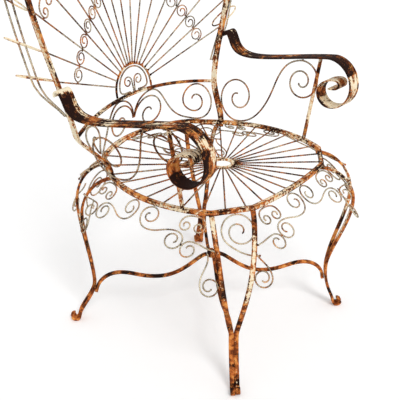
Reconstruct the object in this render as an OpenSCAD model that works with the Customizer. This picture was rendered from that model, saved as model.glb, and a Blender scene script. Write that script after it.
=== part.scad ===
// Wrought iron armchair with a fan back: flat straps, square bars and bent wires, all welded.
// Millimetres. The floor is z = 0, the chair faces -y, and x = 0 is its middle plane.
// Pieces that are welded on the real chair lie a weld gap apart here, and each is its own solid.

/* [Seat] */
// Height of the middle of the seat rim
seat_h = 430; // [400:5:460]
// Half the length of the front rail between its corners
front_half = 135; // [120:1:145]
// Half the length of the back rail between its corners
back_half = 157; // [140:1:170]
// Distance of the front corners from the middle
front_y = 231; // [215:1:245]
// Distance of the back corners from the middle
back_y = 190; // [180:1:200]
// Half the width of the seat at the side rails' front ends
side_front_half = 208; // [195:1:220]
// Half the width of the seat at the side rails' back ends
side_back_half = 203; // [195:1:215]
// How far the side rails' front ends lie in front of the middle
side_front_y = 178; // [165:1:190]
// How far the side rails' back ends lie behind the middle
side_back_y = 118; // [105:1:130]
// Bulge of the front rail
front_bulge = 12; // [4:1:20]
// Bulge of the side rails
side_bulge = 38; // [20:1:50]
// Bulge of the back rail
back_bulge = 54; // [35:1:60]
// Side of the rim's square bar
rim_bar = 10; // [8:0.5:12]
// Outer radius of the hub where the seat wires meet
hub_r = 28; // [22:1:36]
// Width of the hub's flat ring
hub_band = 8; // [6:0.5:10]
// How far the hub lies in front of the middle
hub_y = 45; // [25:1:50]
// Number of wires between the hub and the rim
spoke_count = 32; // [24:2:40]

/* [Legs] */
// Width of each of a leg's two bars
leg_w = 11; // [9:0.5:13]
// Thickness of a leg bar
leg_t = 6; // [5:0.5:8]
// Outward reach of the front knees
knee_front = 85; // [70:1:95]
// Outward reach of the back knees
knee_back = 74; // [60:1:90]
// Outward reach of the front ankles
ankle_front = 31; // [20:1:45]
// Outward reach of the back ankles
ankle_back = 54; // [40:1:65]
// Outward reach of the front feet
foot_front = 70; // [60:1:85]
// Outward reach of the back feet
foot_back = 114; // [95:1:125]
// Height of the knees
knee_z = 320; // [295:5:340]
// Height of the ankles
ankle_z = 118; // [105:1:135]
// Radius of the curl at a foot
foot_curl = 7; // [6:0.5:9]

/* [Stretchers] */
// Height at which the stretchers cross
cross_z = 172; // [155:1:190]
// Height of a stretcher's trough
trough_z = 117; // [108:1:125]
// Height of a stretcher's crest
crest_z = 137; // [130:1:145]
// Height at which a stretcher meets a leg
brace_z = 94; // [85:1:105]
// How far the crossing lies in front of the middle
cross_y = 12; // [0:1:25]
// Side of the stretchers' square bar
brace_bar = 8; // [6:0.5:10]

/* [Arms] */
// Half the distance between the arms' middles at the front
arm_half = 274; // [262:1:285]
// How much further out each arm is at the back
arm_splay = 14; // [0:1:20]
// Width of the arm strap
arm_w = 38; // [30:1:45]
// Thickness of the arm strap
arm_t = 4; // [3:0.5:5]
// Height of the arm where it is lowest
arm_low = 597; // [580:1:610]
// Height of the top of the arm's front scroll
arm_high = 641; // [630:1:655]
// Height of the arm's back end
arm_end_z = 652; // [640:1:662]
// How far the front scroll reaches in front of the middle
arm_reach = 229; // [215:1:245]
// Diameter of the arm posts
post_d = 9; // [7:0.5:11]
// How far the foot of an arm post lies in front of the middle
post_foot_y = 120; // [110:1:124]
// How far the head of an arm post lies in front of the middle
post_head_y = 130; // [120:1:132]

/* [Back] */
// Radius of the back's barrel curve, seen from above
barrel_r = 600; // [520:10:700]
// How far the middle of the cross rail lies behind the seat's middle
back_mid_y = 228; // [222:1:234]
// Height of the cross rail's middle
rail_z = 546; // [535:1:555]
// How much lower the cross rail's ends are
rail_drop = 26; // [15:1:35]
// Half the width of the back at the cross rail
rail_half = 246; // [236:1:256]
// Half the width of the back at its widest
hoop_half = 340; // [325:1:355]
// Height at which the back is widest
hoop_wide_z = 870; // [845:5:895]
// Height of the top of the hoop
hoop_top = 1150; // [1110:5:1180]
// Backward lean of the fan, as run over rise
lean = 0.13; // [0.1:0.01:0.16]
// Width of the hoop strap
hoop_w = 16; // [12:1:20]
// Thickness of the hoop strap
hoop_t = 5; // [4:0.5:6]
// Diameter of the twisted wires
wire = 5; // [4:0.5:6]
// Radius of the arch at the foot of the fan
arch_r = 60; // [52:1:66]
// Number of wires in the fan
fan_wires = 17; // [13:2:19]
// Angle between neighbouring fan wires
fan_pitch = 8.65; // [8:0.05:9]
// Radius of the garland, from the arch's centre
garland_r = 225; // [200:5:250]
// How far the outer wires lie outside the hoop
outer_gap = 45; // [35:1:55]

/* [Hidden] */
gap = 0.3;
rust = [0.62, 0.36, 0.22];
cream = [0.86, 0.80, 0.70];
rim_top = seat_h + rim_bar / 2;
rim_low = seat_h - rim_bar / 2;
// the sizes above count from the seat's middle; this much further back is the middle of the whole chair
middle = 16.5;
module placed() translate([0, -middle, 0]) children();

// vectors and paths
function unit(v) = v / norm(v);
function turn(a) = [cos(a), sin(a)];
function tangent(p, i) = unit(p[min(i + 1, len(p) - 1)] - p[max(i - 1, 0)]);
function left_of(t) = [-t.y, t.x];
// a cubic curve through two points with two handles
function curve(a, b, c, d, n = 10) = [for (i = [0:n]) let(t = i / n, s = 1 - t)
  a * s * s * s + b * 3 * s * s * t + c * 3 * s * t * t + d * t * t * t];
function chain(list, i = 0) = i == len(list) - 1 ? list[i]
  : concat([for (k = [0:len(list[i]) - 2]) list[i][k]], chain(list, i + 1));
// the outline of a bar of width w that follows a flat path
function outline(p, w) = concat(
  [for (i = [0:len(p) - 1]) p[i] + left_of(tangent(p, i)) * w / 2],
  [for (i = [len(p) - 1:-1:0]) p[i] - left_of(tangent(p, i)) * w / 2]);
// a flat path bent from bar of width w and thickness t, centred on its plane
module bent_bar(p, w, t) linear_extrude(t, center = true) polygon(outline(p, w));
// children drawn in a plane whose axes are ex and ey
module on_plane(o, ex, ey) {
  ez = cross(ex, ey);
  multmatrix([[ex.x, ey.x, ez.x, o.x], [ex.y, ey.y, ez.y, o.y], [ex.z, ey.z, ez.z, o.z]])
    children();
}
// a bar of width w along the direction wide and thickness t, swept along a path in space
module sweep(p, wide, w, t) {
  n = len(p);
  rings = [for (i = [0:n - 1]) let(
      d = tangent(p, i), a = unit(wide - d * (wide * d)), b = cross(d, a))
    for (c = [[1, 1], [-1, 1], [-1, -1], [1, -1]]) p[i] + a * c[0] * w / 2 + b * c[1] * t / 2];
  sides = [for (i = [0:n - 2], k = [0:3]) let(j = (k + 1) % 4)
    each [[4 * i + k, 4 * i + 4 + k, 4 * i + j], [4 * i + j, 4 * i + 4 + k, 4 * i + 4 + j]]];
  ends = [[0, 1, 2, 3], [4 * n - 1, 4 * n - 2, 4 * n - 3, 4 * n - 4]];
  polyhedron(rings, concat(sides, ends));
}
// a round rod between two points
module rod(a, b, d) {
  v = b - a;
  translate(a) rotate([0, acos(v.z / norm(v)), atan2(v.y, v.x)]) cylinder(h = norm(v), d = d, $fn = 24);
}

// the rim: four bulged rails joined by straight cut corners, going round from the front rail
function rail_ends() = [
  [[-front_half, -front_y], [front_half, -front_y], front_bulge],
  [[side_front_half, -side_front_y], [side_back_half, side_back_y], side_bulge],
  [[back_half, back_y], [-back_half, back_y], back_bulge],
  [[-side_back_half, side_back_y], [-side_front_half, -side_front_y], side_bulge]];
// a point on a rail, u running from -1 to 1 along it, and the rail's outward direction there
function on_rail(k, u) = let(r = rail_ends()[k], half = norm(r[1] - r[0]) / 2, ex = unit(r[1] - r[0]),
    out = -left_of(ex), big = (half * half + r[2] * r[2]) / (2 * r[2]), x = u * half)
  (r[0] + r[1]) / 2 + ex * x + out * (sqrt(big * big - x * x) - big + r[2]);
function rim_path() = [for (k = [0:3]) for (i = [0:10]) on_rail(k, i / 5 - 1)];
function loop_tangent(p, i) = let(n = len(p)) unit(p[(i + 1) % n] - p[(i + n - 1) % n]);
function loop_offset(p, d) = [for (i = [0:len(p) - 1]) p[i] - left_of(loop_tangent(p, i)) * d];
// where a line from c in direction d first meets a closed path, with the path's direction there
function hit(p, c, d) = [for (i = [0:len(p) - 1]) let(a = p[i], e = p[(i + 1) % len(p)] - a,
    den = d.x * e.y - d.y * e.x, q = a - c, t = (q.x * e.y - q.y * e.x) / den,
    s = (q.x * d.y - q.y * d.x) / den) if (t > 0 && s >= 0 && s < 1) [c + d * t, unit(e)]][0];

module seat_rim() color(rust) placed() translate([0, 0, rim_low]) linear_extrude(rim_bar) difference() {
  polygon(loop_offset(rim_path(), rim_bar / 2));
  polygon(loop_offset(rim_path(), -rim_bar / 2));
}

hub = [0, -hub_y];
module seat_hub() color(cream) placed() translate([0, -hub_y, seat_h - 3]) difference() {
  cylinder(h = 6, r = hub_r, $fn = 96);
  translate([0, 0, -1]) cylinder(h = 8, r = hub_r - hub_band, $fn = 96);
}

module seat_wires() color(rust) placed() for (i = [0:spoke_count - 1]) {
  d = turn((i + 0.5) * 360 / spoke_count);
  at = hit(rim_path(), hub, d);
  lean_in = abs(d * left_of(at[1]));
  end = at[0] - d * (rim_bar / 2 + gap + wire / 2 * sqrt(1 - lean_in * lean_in)) / lean_in;
  start = hub + d * (hub_r + gap);
  rod([start.x, start.y, seat_h], [end.x, end.y, seat_h], wire - 1);
}

// a leg: two bars that leave the ends of a cut corner and close up lower down
function leg_profile(knee, ankle, foot) = let(top = rim_low - gap - leg_t / 2, low = leg_t / 2)
  chain([
    curve([-6, top], [35, top], [knee, 376], [knee, knee_z], 8),
    curve([knee, knee_z], [knee, 255], [ankle, 178], [ankle, ankle_z], 8),
    curve([ankle, ankle_z], [ankle, 90], [foot - 31, 56], [foot - 19, 32], 6),
    curve([foot - 19, 32], [foot - 12, 17], [foot - 14, low], [foot - 8, low], 4),
    [[foot - 8, low], [foot - 7, low], [foot, low], [foot + 1, low]],
    [for (a = [-90:21:120]) [foot + 1 + foot_curl * cos(a), low + foot_curl + foot_curl * sin(a)]]]);
// half the distance between a leg's bars, counted along the cut corner, which lies askew to the leg's own
// direction: square is the sine of the angle between them, so that the bars clear each other at the ankle
function spread(z, top, square) = let(tight = (leg_w + gap) / 2 / square,
    f = max(0, min(1, (z - 145) / (rim_low - 145)))) tight + (top - tight) * pow(f, 0.8);
module leg(a, b, out_angle, knee, ankle, foot, m) {
  mid = (a + b) / 2;
  half = norm(b - a) / 2;
  out = turn(out_angle);
  across = unit(b - a);
  square = abs(cross(out, across));
  prof = leg_profile(knee, ankle, foot);
  for (s = [-1, 1]) {
    path = [for (p = prof) let(w = s * spread(p.y, half, square), q = mid + out * p.x + across * w)
      [m * q.x, q.y, p.y]];
    sweep(path, [m * out.y, -out.x, 0], leg_w, leg_t);
  }
}
module front_leg(m) color(cream) placed()
  leg([side_front_half, -side_front_y], [front_half, -front_y], -43, knee_front, ankle_front, foot_front, m);
module back_leg(m) color(cream) placed()
  leg([back_half, back_y], [side_back_half, side_back_y], 52, knee_back, ankle_back, foot_back, m);
module leg_front_left() front_leg(1);
module leg_front_right() front_leg(-1);
module leg_back_left() back_leg(1);
module leg_back_right() back_leg(-1);

// the middle of a cut corner, its leg's outward direction and the place of the leg's bars at a height
function leg_mid(back) = back ? [(back_half + side_back_half) / 2, (back_y + side_back_y) / 2]
  : [(front_half + side_front_half) / 2, -(front_y + side_front_y) / 2];
function leg_out(back) = turn(back ? 52 : -43);
function leg_across(back) = back ? unit([side_back_half - back_half, side_back_y - back_y])
  : unit([front_half - side_front_half, side_front_y - front_y]);
function leg_half(back) = back ? norm([side_back_half - back_half, side_back_y - back_y]) / 2
  : norm([front_half - side_front_half, side_front_y - front_y]) / 2;
function reach(back, z) = lookup(z, [for (q = back ? leg_profile(knee_back, ankle_back, foot_back)
    : leg_profile(knee_front, ankle_front, foot_front)) if (q.y > 60) [q.y, q.x]]);
function half_spread(back, z) = spread(z, leg_half(back), abs(cross(leg_out(back), leg_across(back))));
function bar_at(back, s, z) =
  leg_mid(back) + leg_out(back) * reach(back, z) + leg_across(back) * s * half_spread(back, z);

function arc(c, r, a, b, n = 6) = [for (i = [0:n]) c + r * turn(a + (b - a) * i / n)];
function spiral(c, r, e, a, b, n = 12) = [for (i = [0:n]) c + (r + (e - r) * i / n) * turn(a + (b - a) * i / n)];
function flip(p) = [for (i = [len(p) - 1:-1:0]) [-p[i].x, p[i].y]];

// aprons: in each half an S that hangs from the rail, a hook from the leg and a small pair of curls
bend = 21;
hook = 18;
wire_w = 4;
top_off = gap + wire_w / 2;
function s_unit() = chain([
  spiral([0, -top_off - bend], 6, bend, -250, 80, 16),
  arc([0, -top_off - bend], bend, 80, 180, 5),
  curve([-bend, -top_off - bend], [-bend, -44], [-9, -55], [12, -55], 6),
  curve([12, -55], [30, -55], [42, -45], [62, -45], 6),
  curve([62, -45], [78, -45], [89, -53], [89, -66], 4),
  arc([68, -66], bend, 0, -60, 3),
  spiral([68, -66], bend, 7, -60, -420, 18)]);
hook_c = [68, -66] + (bend + hook + wire_w + gap) * turn(-20);
function hook_unit(l, h) = chain([
  curve([l, -h], [l - 25, -h], [hook_c.x + 22, hook_c.y + hook], [hook_c.x, hook_c.y + hook], 6),
  arc(hook_c, hook, 90, 240, 7),
  spiral(hook_c, hook, 6, 240, 520, 13)]);
// how far below a flat underside the top of a wire starts when its plane leans by the angle a
function lean_off(a) = gap / cos(a) + wire_w / 2 * (1 + tan(a));
function curl_pair(w, off = top_off) = let(k = w / 26, half = chain([
    curve([0, -off], [16 * k, -off], [26 * k, -10 * k], [26 * k, -27 * k], 5),
    spiral([13.5 * k, -27 * k], 12.5 * k, 4 * k, 0, -400, 18)]))
  chain([flip(half), half]);
// how far below the rim a hook meets its leg
hook_drop = 43;
// each half hangs in a plane that leans out from the rail's underside to the leg's bar, and its
// hook ends by room outside that bar, whose near corner stands out more or less from place to place
module half_apron(k, s, back, side, room) {
  rail = rail_ends()[k];
  half = norm(rail[1] - rail[0]) / 2;
  ex = unit(on_rail(k, s) - on_rail(k, s * 23 / half));
  n = left_of(ex) * -s;
  tilt = acos(ex * unit(rail[1] - rail[0]) * s);
  near = on_rail(k, s * ((bend + wire_w / 2) * cos(tilt) + wire_w / 2 * sin(tilt) + gap / 2) / half);
  bar_room = abs(leg_across(back) * n) * leg_w / 2 + abs(leg_out(back) * n) * leg_t / 2;
  far = bar_at(back, side, rim_low - hook_drop) + n * (bar_room + gap + wire_w / 2 + room) - near;
  a = atan2(far * n, hook_drop);
  ey = [-n.x * sin(a), -n.y * sin(a), cos(a)];
  lower = lean_off(a) - top_off;
  on_plane([near.x, near.y, rim_low], [ex.x, ex.y, 0], ey) translate([0, -lower, 0]) {
    bent_bar(s_unit(), wire_w, wire_w);
    bent_bar(hook_unit(far * ex, norm([far * n, hook_drop]) - lower), wire_w, wire_w);
  }
  top = on_rail(k, s * (half - 28) / half);
  on_plane([top.x, top.y, rim_low], [ex.x, ex.y, 0], ey)
    bent_bar(curl_pair(28, lean_off(a)), wire_w, wire_w);
}
module apron_front() color(rust) placed() for (s = [-1, 1]) mirror([s < 0 ? 1 : 0, 0, 0]) half_apron(0, 1, false, 1, 2.7);
module apron_back() color(rust) placed() for (s = [-1, 1]) mirror([s < 0 ? 1 : 0, 0, 0]) half_apron(2, -1, true, -1, 0.2);
module apron_side() { half_apron(1, -1, false, -1, 1.3); half_apron(1, 1, true, 1, 3.9); }
module apron_left() color(rust) placed() apron_side();
module apron_right() color(rust) placed() mirror([1, 0, 0]) apron_side();

// corners: a big spiral between a leg's bars and a hook outside each bar
module corner(back) {
  mid = leg_mid(back);
  out = leg_out(back);
  ex = leg_across(back);
  out_n = -left_of(ex) * (out * -left_of(ex) > 0 ? 1 : -1);
  low = 69;
  o = reach(back, rim_low - low) * (out * out_n) - leg_t / 2 - gap - wire_w / 2 - 1;
  far = norm([o, low]);
  ey = -[out_n.x * o, out_n.y * o, -low] / far;
  c = [5, -lean_off(atan2(o, low)) - 37];
  on_plane([mid.x, mid.y, rim_low], [ex.x, ex.y, 0], ey) bent_bar(chain([
    curve([half_spread(back, rim_low - low), -far], [12, -far + 1], [-8, c.y - 40], c + 37 * turn(225), 5),
    arc(c, 37, 225, 75, 9),
    spiral(c, 37, 8, 75, -400, 26)]), wire_w, wire_w);
  z = 308;
  u = half_spread(back, z) + leg_w / 2 + gap + wire_w / 2 + 19.6;
  q = mid + out * reach(back, z);
  for (s = [-1, 1]) {
    d = [(mid + out_n * 42 - q) * out_n, 362 - z];
    tall = norm(d);
    on_plane([q.x, q.y, z], [ex.x * s, ex.y * s, 0], [out_n.x * d.x, out_n.y * d.x, d.y] / tall)
      bent_bar(chain([
        curve([50, tall], [47, tall * 0.6], [u + 19, tall * 0.45], [u + 19, 0], 6),
        arc([u, 0], 19, 0, -180, 9),
        spiral([u, 0], 19, 6, -180, -500, 16)]), wire_w, wire_w);
  }
}
module corner_back_left() color(rust) placed() corner(true);
module corner_back_right() color(rust) placed() mirror([1, 0, 0]) corner(true);
module corner_front_left() color(rust) placed() corner(false);
module corner_front_right() color(rust) placed() mirror([1, 0, 0]) corner(false);

// stretchers: four ogee bars from a disc to the legs
module stretcher_disc() color(rust) placed() translate([0, -cross_y, cross_z - 6]) cylinder(h = 12, r = 14, $fn = 48);
module stretchers() color(rust) placed() for (back = [false, true], s = [-1, 1]) mirror([s < 0 ? 1 : 0, 0, 0]) {
  foot = leg_mid(back) + leg_out(back) * reach(back, ankle_z);
  v = foot - [0, -cross_y];
  l = norm(v) - leg_t / 2 - gap - brace_bar / 2 - 0.9;
  // how much further out the leg is at the stretcher's lowest points
  out = [for (z = [brace_z, brace_z - 9]) (reach(back, z) - reach(back, ankle_z)) * 0.7];
  on_plane([0, -cross_y, 0], [v.x, v.y, 0] / norm(v), [0, 0, 1]) bent_bar(chain([
    [[14.3, cross_z], [18, cross_z]],
    curve([18, cross_z], [40, cross_z - 6], [75, trough_z], [l * 0.46, trough_z], 8),
    curve([l * 0.46, trough_z], [l * 0.63, trough_z], [l * 0.7, crest_z], [l * 0.82, crest_z], 7),
    curve([l * 0.82, crest_z], [l * 0.93, crest_z], [l, brace_z + 20], [l + out[0], brace_z], 7),
    [[l + out[0], brace_z], [l + out[1], brace_z - 9]]]), brace_bar, brace_bar);
}

// the back's barrel surface
function back_at(x, z) = [x, back_mid_y + lean * (z - rail_z) - x * x / (2 * barrel_r), z];
function rail_at(x) = rail_z - rail_drop * x * x / (rail_half * rail_half);
// the hoop from a rail end to the top, seen from the front
function hoop_side() = chain([
  curve([rail_half, rail_z - rail_drop], [rail_half + 11, rail_z - rail_drop + 92],
    [hoop_half - 16, hoop_wide_z - 122], [hoop_half, hoop_wide_z], 10),
  [for (a = [0:9:90]) [hoop_half * cos(a), hoop_wide_z + (hoop_top - hoop_wide_z) * sin(a)]]]);
function hoop_half_path() = let(e = back_at(rail_half, rail_z - rail_drop),
    f = [side_back_half, side_back_y, rim_top + gap])
  chain([[f, f + [0, 0, 4]], curve(f + [0, 0, 4], f + [0, 0, 30], e - [10, 8, 24], e, 7), [for (q = hoop_side()) back_at(q.x, q.y)]]);
module hoop() color(rust) placed() {
  h = hoop_half_path();
  sweep(chain([h, [for (i = [len(h) - 1:-1:0]) [-h[i].x, h[i].y, h[i].z]]]), [0, 1, 0], hoop_w, hoop_t);
}
rail_t = 7;
module back_rail() color(rust) placed() {
  a = rail_half - hoop_t / 2 - gap - 2.2;
  sweep([for (i = [-12:12]) back_at(a * i / 12, rail_at(a * i / 12))], [0, 0, 1], rail_t, rail_t);
}

// the arch at the foot of the fan, in the plane of the back's middle
up = [0, lean, 1] / norm([0, lean, 1]);
arch_c = 12;
function arch_foot(x) = rail_at(x) - rail_z + rail_t / 2 + gap;
module on_back() on_plane([0, back_mid_y, rail_z], [1, 0, 0], up) children();
module arch() color(rust) placed() on_back() bent_bar(chain([
  [[arch_r, arch_foot(arch_r) + 0.2], [arch_r, arch_c]], arc([0, arch_c], arch_r, 0, 180, 14),
  [[-arch_r, arch_c], [-arch_r, arch_foot(arch_r) + 0.2]]]), wire, wire);
module arch_curls() color(rust) placed() on_back() {
  r = arch_r - 12.5;
  inner = chain([
    curve([14, arch_foot(14) + wire_w / 2 + 0.3], [34, 5], [r, 4], [r, arch_c + 6], 5),
    arc([0, arch_c + 6], r, 0, 90, 8)]);
  half = [for (p = inner) p];
  bent_bar(chain([half, [for (i = [len(half) - 1:-1:0]) [-half[i].x, half[i].y]]]), wire_w, wire_w);
  for (s = [-1, 1]) mirror([s < 0 ? 1 : 0, 0, 0]) bent_bar(chain([
    curve([2.4, arch_foot(3) + 0.1], [2.4, 16], [3.5, 22], [4, 30], 4),
    arc([17, 30], 13, 180, 60, 6),
    spiral([17, 30], 13, 4, 60, -280, 16)]), 3.5, 3.5);
}

// the fan: straight wires from the arch to the hoop
fan_last = (fan_wires - 1) / 2;
function fan_dir(i) = turn(90 - fan_pitch * i);
function fan_c(i) = [0, rail_z + 29 - 22 * i * i / 64];
function hoop_front() = let(h = hoop_side()) chain([h, [for (i = [len(h) - 1:-1:0]) [-h[i].x, h[i].y]]]);
function fan_start(i) = let(c = fan_c(i), d = fan_dir(i), q = c - [0, rail_z + arch_c], b = q * d,
    r = arch_r + wire / 2 + gap + 0.3)
  c + d * (-b + sqrt(b * b - q * q + r * r));
function fan_end(i) = let(at = hit(hoop_front(), fan_c(i), fan_dir(i)), k = abs(fan_dir(i) * left_of(at[1])))
  at[0] - fan_dir(i) * (hoop_t / 2 + gap + wire / 2 * sqrt(max(0, 1 - k * k))) / k;
function lift(q) = back_at(q.x, q.y);
fan_d = wire - 0.6;
module fan() color(rust) placed() for (i = [-fan_last:fan_last]) rod(lift(fan_start(i)), lift(fan_end(i)), fan_d);
// where a fan wire passes a given distance from the arch's centre
function on_fan(i, r) = let(a = lift(fan_start(i)), b = lift(fan_end(i)),
    k = (r - norm(fan_start(i) - fan_c(i))) / norm(fan_end(i) - fan_start(i))) a + (b - a) * k;
// children between two neighbouring fan wires, given half the free width there
module between(i, r) {
  a = on_fan(i, r);
  b = on_fan(i + 1, r);
  ex = unit(b - a);
  v = on_fan(i, r + 30) + on_fan(i + 1, r + 30) - a - b;
  on_plane((a + b) / 2, ex, unit(v - ex * (v * ex))) children();
}
function free_half(i, r) = norm(on_fan(i + 1, r) - on_fan(i, r)) / 2 * cos(fan_pitch / 2) - fan_d / 2 - gap - 0.1;
module garland() color(rust) placed() for (i = [-fan_last:fan_last - 1]) {
  r = free_half(i, garland_r) - 1.5;
  between(i, garland_r) bent_bar(chain([
    arc([0, 0], r, -10, 190, 11), spiral([0, 0], r, r * 0.3, 190, 590, 18)]), 3, 3);
}
function hoop_r(i) = norm(fan_end(i) - fan_c(i));
function curl_r(i) = min(garland_r + 160, hoop_r(i) - 38, hoop_r(i + 1) - 38);
module curl_row() color(rust) placed() for (i = [-6:5]) {
  w = free_half(i, curl_r(i)) - wire_w / 2;
  between(i, curl_r(i)) translate([0, 27 * w / 26, 0]) bent_bar(curl_pair(w), wire_w, wire_w);
}

// the outer wires and the long rings that tie them to the hoop
// where fan wire i would meet the hoop, and how steeply the hoop runs backwards there
function at_hoop(i) = hit(hoop_front(), fan_c(i), fan_dir(i));
function hoop_rise(i) = let(h = at_hoop(i)) atan(lean * h[1].y - h[0].x * h[1].x / barrel_r);
// how far the rings' middles lie behind the hoop's, so that they just clear its back edge
function ring_back(i) = let(a = abs(hoop_rise(i)), d = fan_dir(i), e = at_hoop(i)[1],
    k = abs(cross(d, e)), out = (hoop_t / 2 + 2 * abs(d * e)) / k, along = (2 + hoop_t / 2 * abs(d * e)) / k)
  hoop_w / 2 / cos(a) + along * tan(a) + 19 * sqrt(1 - pow((40 - out) / 50, 2)) + gap;
function beyond(i, o, b) = lift(at_hoop(i)[0]) + [fan_dir(i).x * o, ring_back(i) + b, fan_dir(i).y * o];
function ellipse(a, b, n = 32) = [for (i = [0:n - 1]) [a * cos(i * 360 / n), b * sin(i * 360 / n)]];
// below the last ring the outer wires close in on the hoop's back edge, one behind the other
last_i = fan_last + 1 / 3;
wire_end = min(last_i + 4 / 3, 88 / fan_pitch);
function wire_i(k) = let(a = abs(k) / 3)
  sign(k) * (a <= last_i ? a : last_i + (wire_end - last_i) * (a - last_i) * 3 / 4);
function closing(i) = let(f = max(0, (abs(i) - last_i) / (wire_end - last_i))) f * f * (3 - 2 * f);
function outer_at(i, b, behind) = let(f = closing(i), o = outer_gap * (1 - f),
    y = (ring_back(i) + b) * (1 - f) + (hoop_w / 2 + behind) * f)
  lift(at_hoop(i)[0]) + [fan_dir(i).x * o, y, fan_dir(i).y * o];
module outer_wire(b, behind) 
  sweep([for (k = [-3 * fan_last - 5:3 * fan_last + 5]) outer_at(wire_i(k), b, behind)], [0, 1, 0], wire, wire);
module outer_wire_front() color(rust) placed() outer_wire(-11, gap + wire / 2 + 1);
module outer_wire_back() color(rust) placed() outer_wire(11, 2 * gap + wire * 3 / 2 + 1.3);
module rings() color(rust) placed() for (i = [-fan_last:fan_last])
  on_plane(beyond(i, 40, 0), [fan_dir(i).x, 0, fan_dir(i).y], [0, 1, 0])
    linear_extrude(4, center = true) difference() {
      polygon(ellipse(50, 19));
      polygon(ellipse(46, 15));
    }

// lower back: a pair of S scrolls on the surface between the seat rim and the cross rail
function low_edge(f) = f < 0.665 ? on_rail(2, -f / 0.665)
  : let(k = (f - 0.665) / 0.335, a = on_rail(2, -1), b = [side_back_half, side_back_y]) a + (b - a) * k;
function lower_at(q) = let(f = q.x / 252, a = low_edge(f), x = rail_half * f, b = back_at(x, rail_at(x)),
    k = (q.y - seat_h) / (rail_at(x) - seat_h)) [a.x + (b.x - a.x) * k, a.y + (b.y - a.y) * k, q.y];
// the scroll is drawn for a panel 100.65 high at its first lobe and 87.1 at its second, then fitted
function lower_room(x) = rail_at(x) - rim_top - rail_t / 2 - 2 * gap - wire;
function lower_fit(q) = let(f1 = lower_room(54) / 100.65, f2 = lower_room(rail_half * 190 / 252) / 87.1)
  lower_at([q.x, rim_top + gap + wire / 2 + q.y * lookup(q.x, [[54, f1], [190, f2]])]);
module lower_scroll() {
  c = [wire / 2 + 52.65, 40.2];
  path = chain([
    spiral(c, 9, 52.4, -320, 180, 26),
    spiral(c, 52.4, 60.4, 180, 90, 6),
    curve([c.x, 100.6], [112, 100.6], [104, 0], [190, 0], 12),
    spiral([190, 46], 46, 45.5, -90, 0, 6),
    spiral([190, 46], 45.5, 9, 0, 510, 30)]);
  p = [for (q = path) lower_fit(q)];
  sweep(p, [0, 1, 0], wire, wire);
}
module lower_scroll_left() color(rust) placed() lower_scroll();
module lower_scroll_right() color(rust) placed() mirror([1, 0, 0]) lower_scroll();

// arms: a strap that curls over at the back and rolls into a scroll in front
arm_turn = atan2(arm_splay, 300);
scroll_y = -(arm_reach - arm_t / 2 - 62);
arm_back = back_at(278, 640).y - hoop_w / 2 - gap - arm_t / 2 - 1.2;
function arm_path() = let(t = arm_high - arm_t / 2, e = arm_end_z - arm_t / 2) chain([
  arc([arm_back - 9, e - 9], 9, -30, 90, 5),
  curve([arm_back - 9, e], [arm_back - 17, e], [arm_back - 23, e - 16], [arm_back - 29, e - 30], 4),
  curve([arm_back - 29, e - 30], [arm_back - 40, e - 48], [110, arm_low], [82, arm_low], 6),
  curve([82, arm_low], [30, arm_low], [-90, t - 9], [scroll_y, t], 10),
  arc([scroll_y, t - 62], 62, 90, 180, 7),
  arc([scroll_y - 4, t - 62], 58, 180, 270, 7),
  arc([scroll_y - 4, t - 87], 33, 270, 360, 6),
  curve([scroll_y + 29, t - 87], [scroll_y + 29, t - 65], [scroll_y + 2, t - 50], [scroll_y - 20, t - 50], 5),
  curve([scroll_y - 20, t - 50], [scroll_y - 34, t - 50], [scroll_y - 36, t - 70], [scroll_y - 18, t - 72], 6),
  [[scroll_y - 18, t - 72], [scroll_y - 2, t - 74]]]);
module arm() translate([arm_half + arm_splay / 2, 0, 0]) rotate([0, 0, -arm_turn])
  on_plane([0, 0, 0], [0, 1, 0], [0, 0, 1]) bent_bar(arm_path(), arm_t, arm_w);
module arm_left() color(cream) placed() arm();
module arm_right() color(cream) placed() mirror([1, 0, 0]) arm();

// the height of the arm's underside at a given y, between its lowest point and its front scroll
function arm_under(y) = let(p = arm_path()) lookup(-y, [for (i = [15:25]) [-p[i].x, p[i].y]]) - arm_t / 2;
function side_rim(y) = on_rail(1, (y - (side_back_y - side_front_y) / 2) / ((side_back_y + side_front_y) / 2)).x;
module arm_post() {
  a = [side_rim(-post_foot_y), -post_foot_y, rim_top + gap];
  b = [arm_half + 3, -post_head_y, arm_under(-post_head_y) - gap - 0.8];
  ring = [for (k = [0:23]) post_d / 2 * [cos(15 * k), sin(15 * k), 0]];
  polyhedron([for (q = [a, b], r = ring) q + r], concat(
    [[for (k = [0:23]) k], [for (k = [23:-1:0]) 24 + k]],
    [for (k = [0:23]) let(j = (k + 1) % 24) [k, 24 + k, 24 + j, j]]));
}
module arm_post_left() color(rust) placed() arm_post();
module arm_post_right() color(rust) placed() mirror([1, 0, 0]) arm_post();

// side panels: one S scroll between the seat rim and the arm
module side_scroll() {
  low = gap + wire / 2 + 0.6;
  x = side_rim(85);
  top = arm_under(-85);
  h = norm([arm_half - 14 - x, top - rim_top]);
  high = h - gap - wire / 2 - 0.6;
  // the arm's slope where the scroll's upper lobe meets it
  a = 90 + atan((arm_under(-75) - arm_under(-95)) / 20);
  on_plane([x, 0, rim_top], [0, 1, 0], [arm_half - 14 - x, 0, top - rim_top] / h) bent_bar(chain([
    spiral([85, low + 61], 9, 61, 270 + 530, 270, 30),
    curve([85, low], [25, low], [-4, 55], [-20, h - 78], 7),
    curve([-20, h - 78], [-34, h - 28], [-85, high] + 36 * turn(a - 90), [-85, high], 7),
    spiral([-85, high] - 51 * turn(a), 51, 8, a, a + 610, 32)]), wire, wire);
}
module side_scroll_left() color(rust) placed() side_scroll();
module side_scroll_right() color(rust) placed() mirror([1, 0, 0]) side_scroll();

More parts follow.
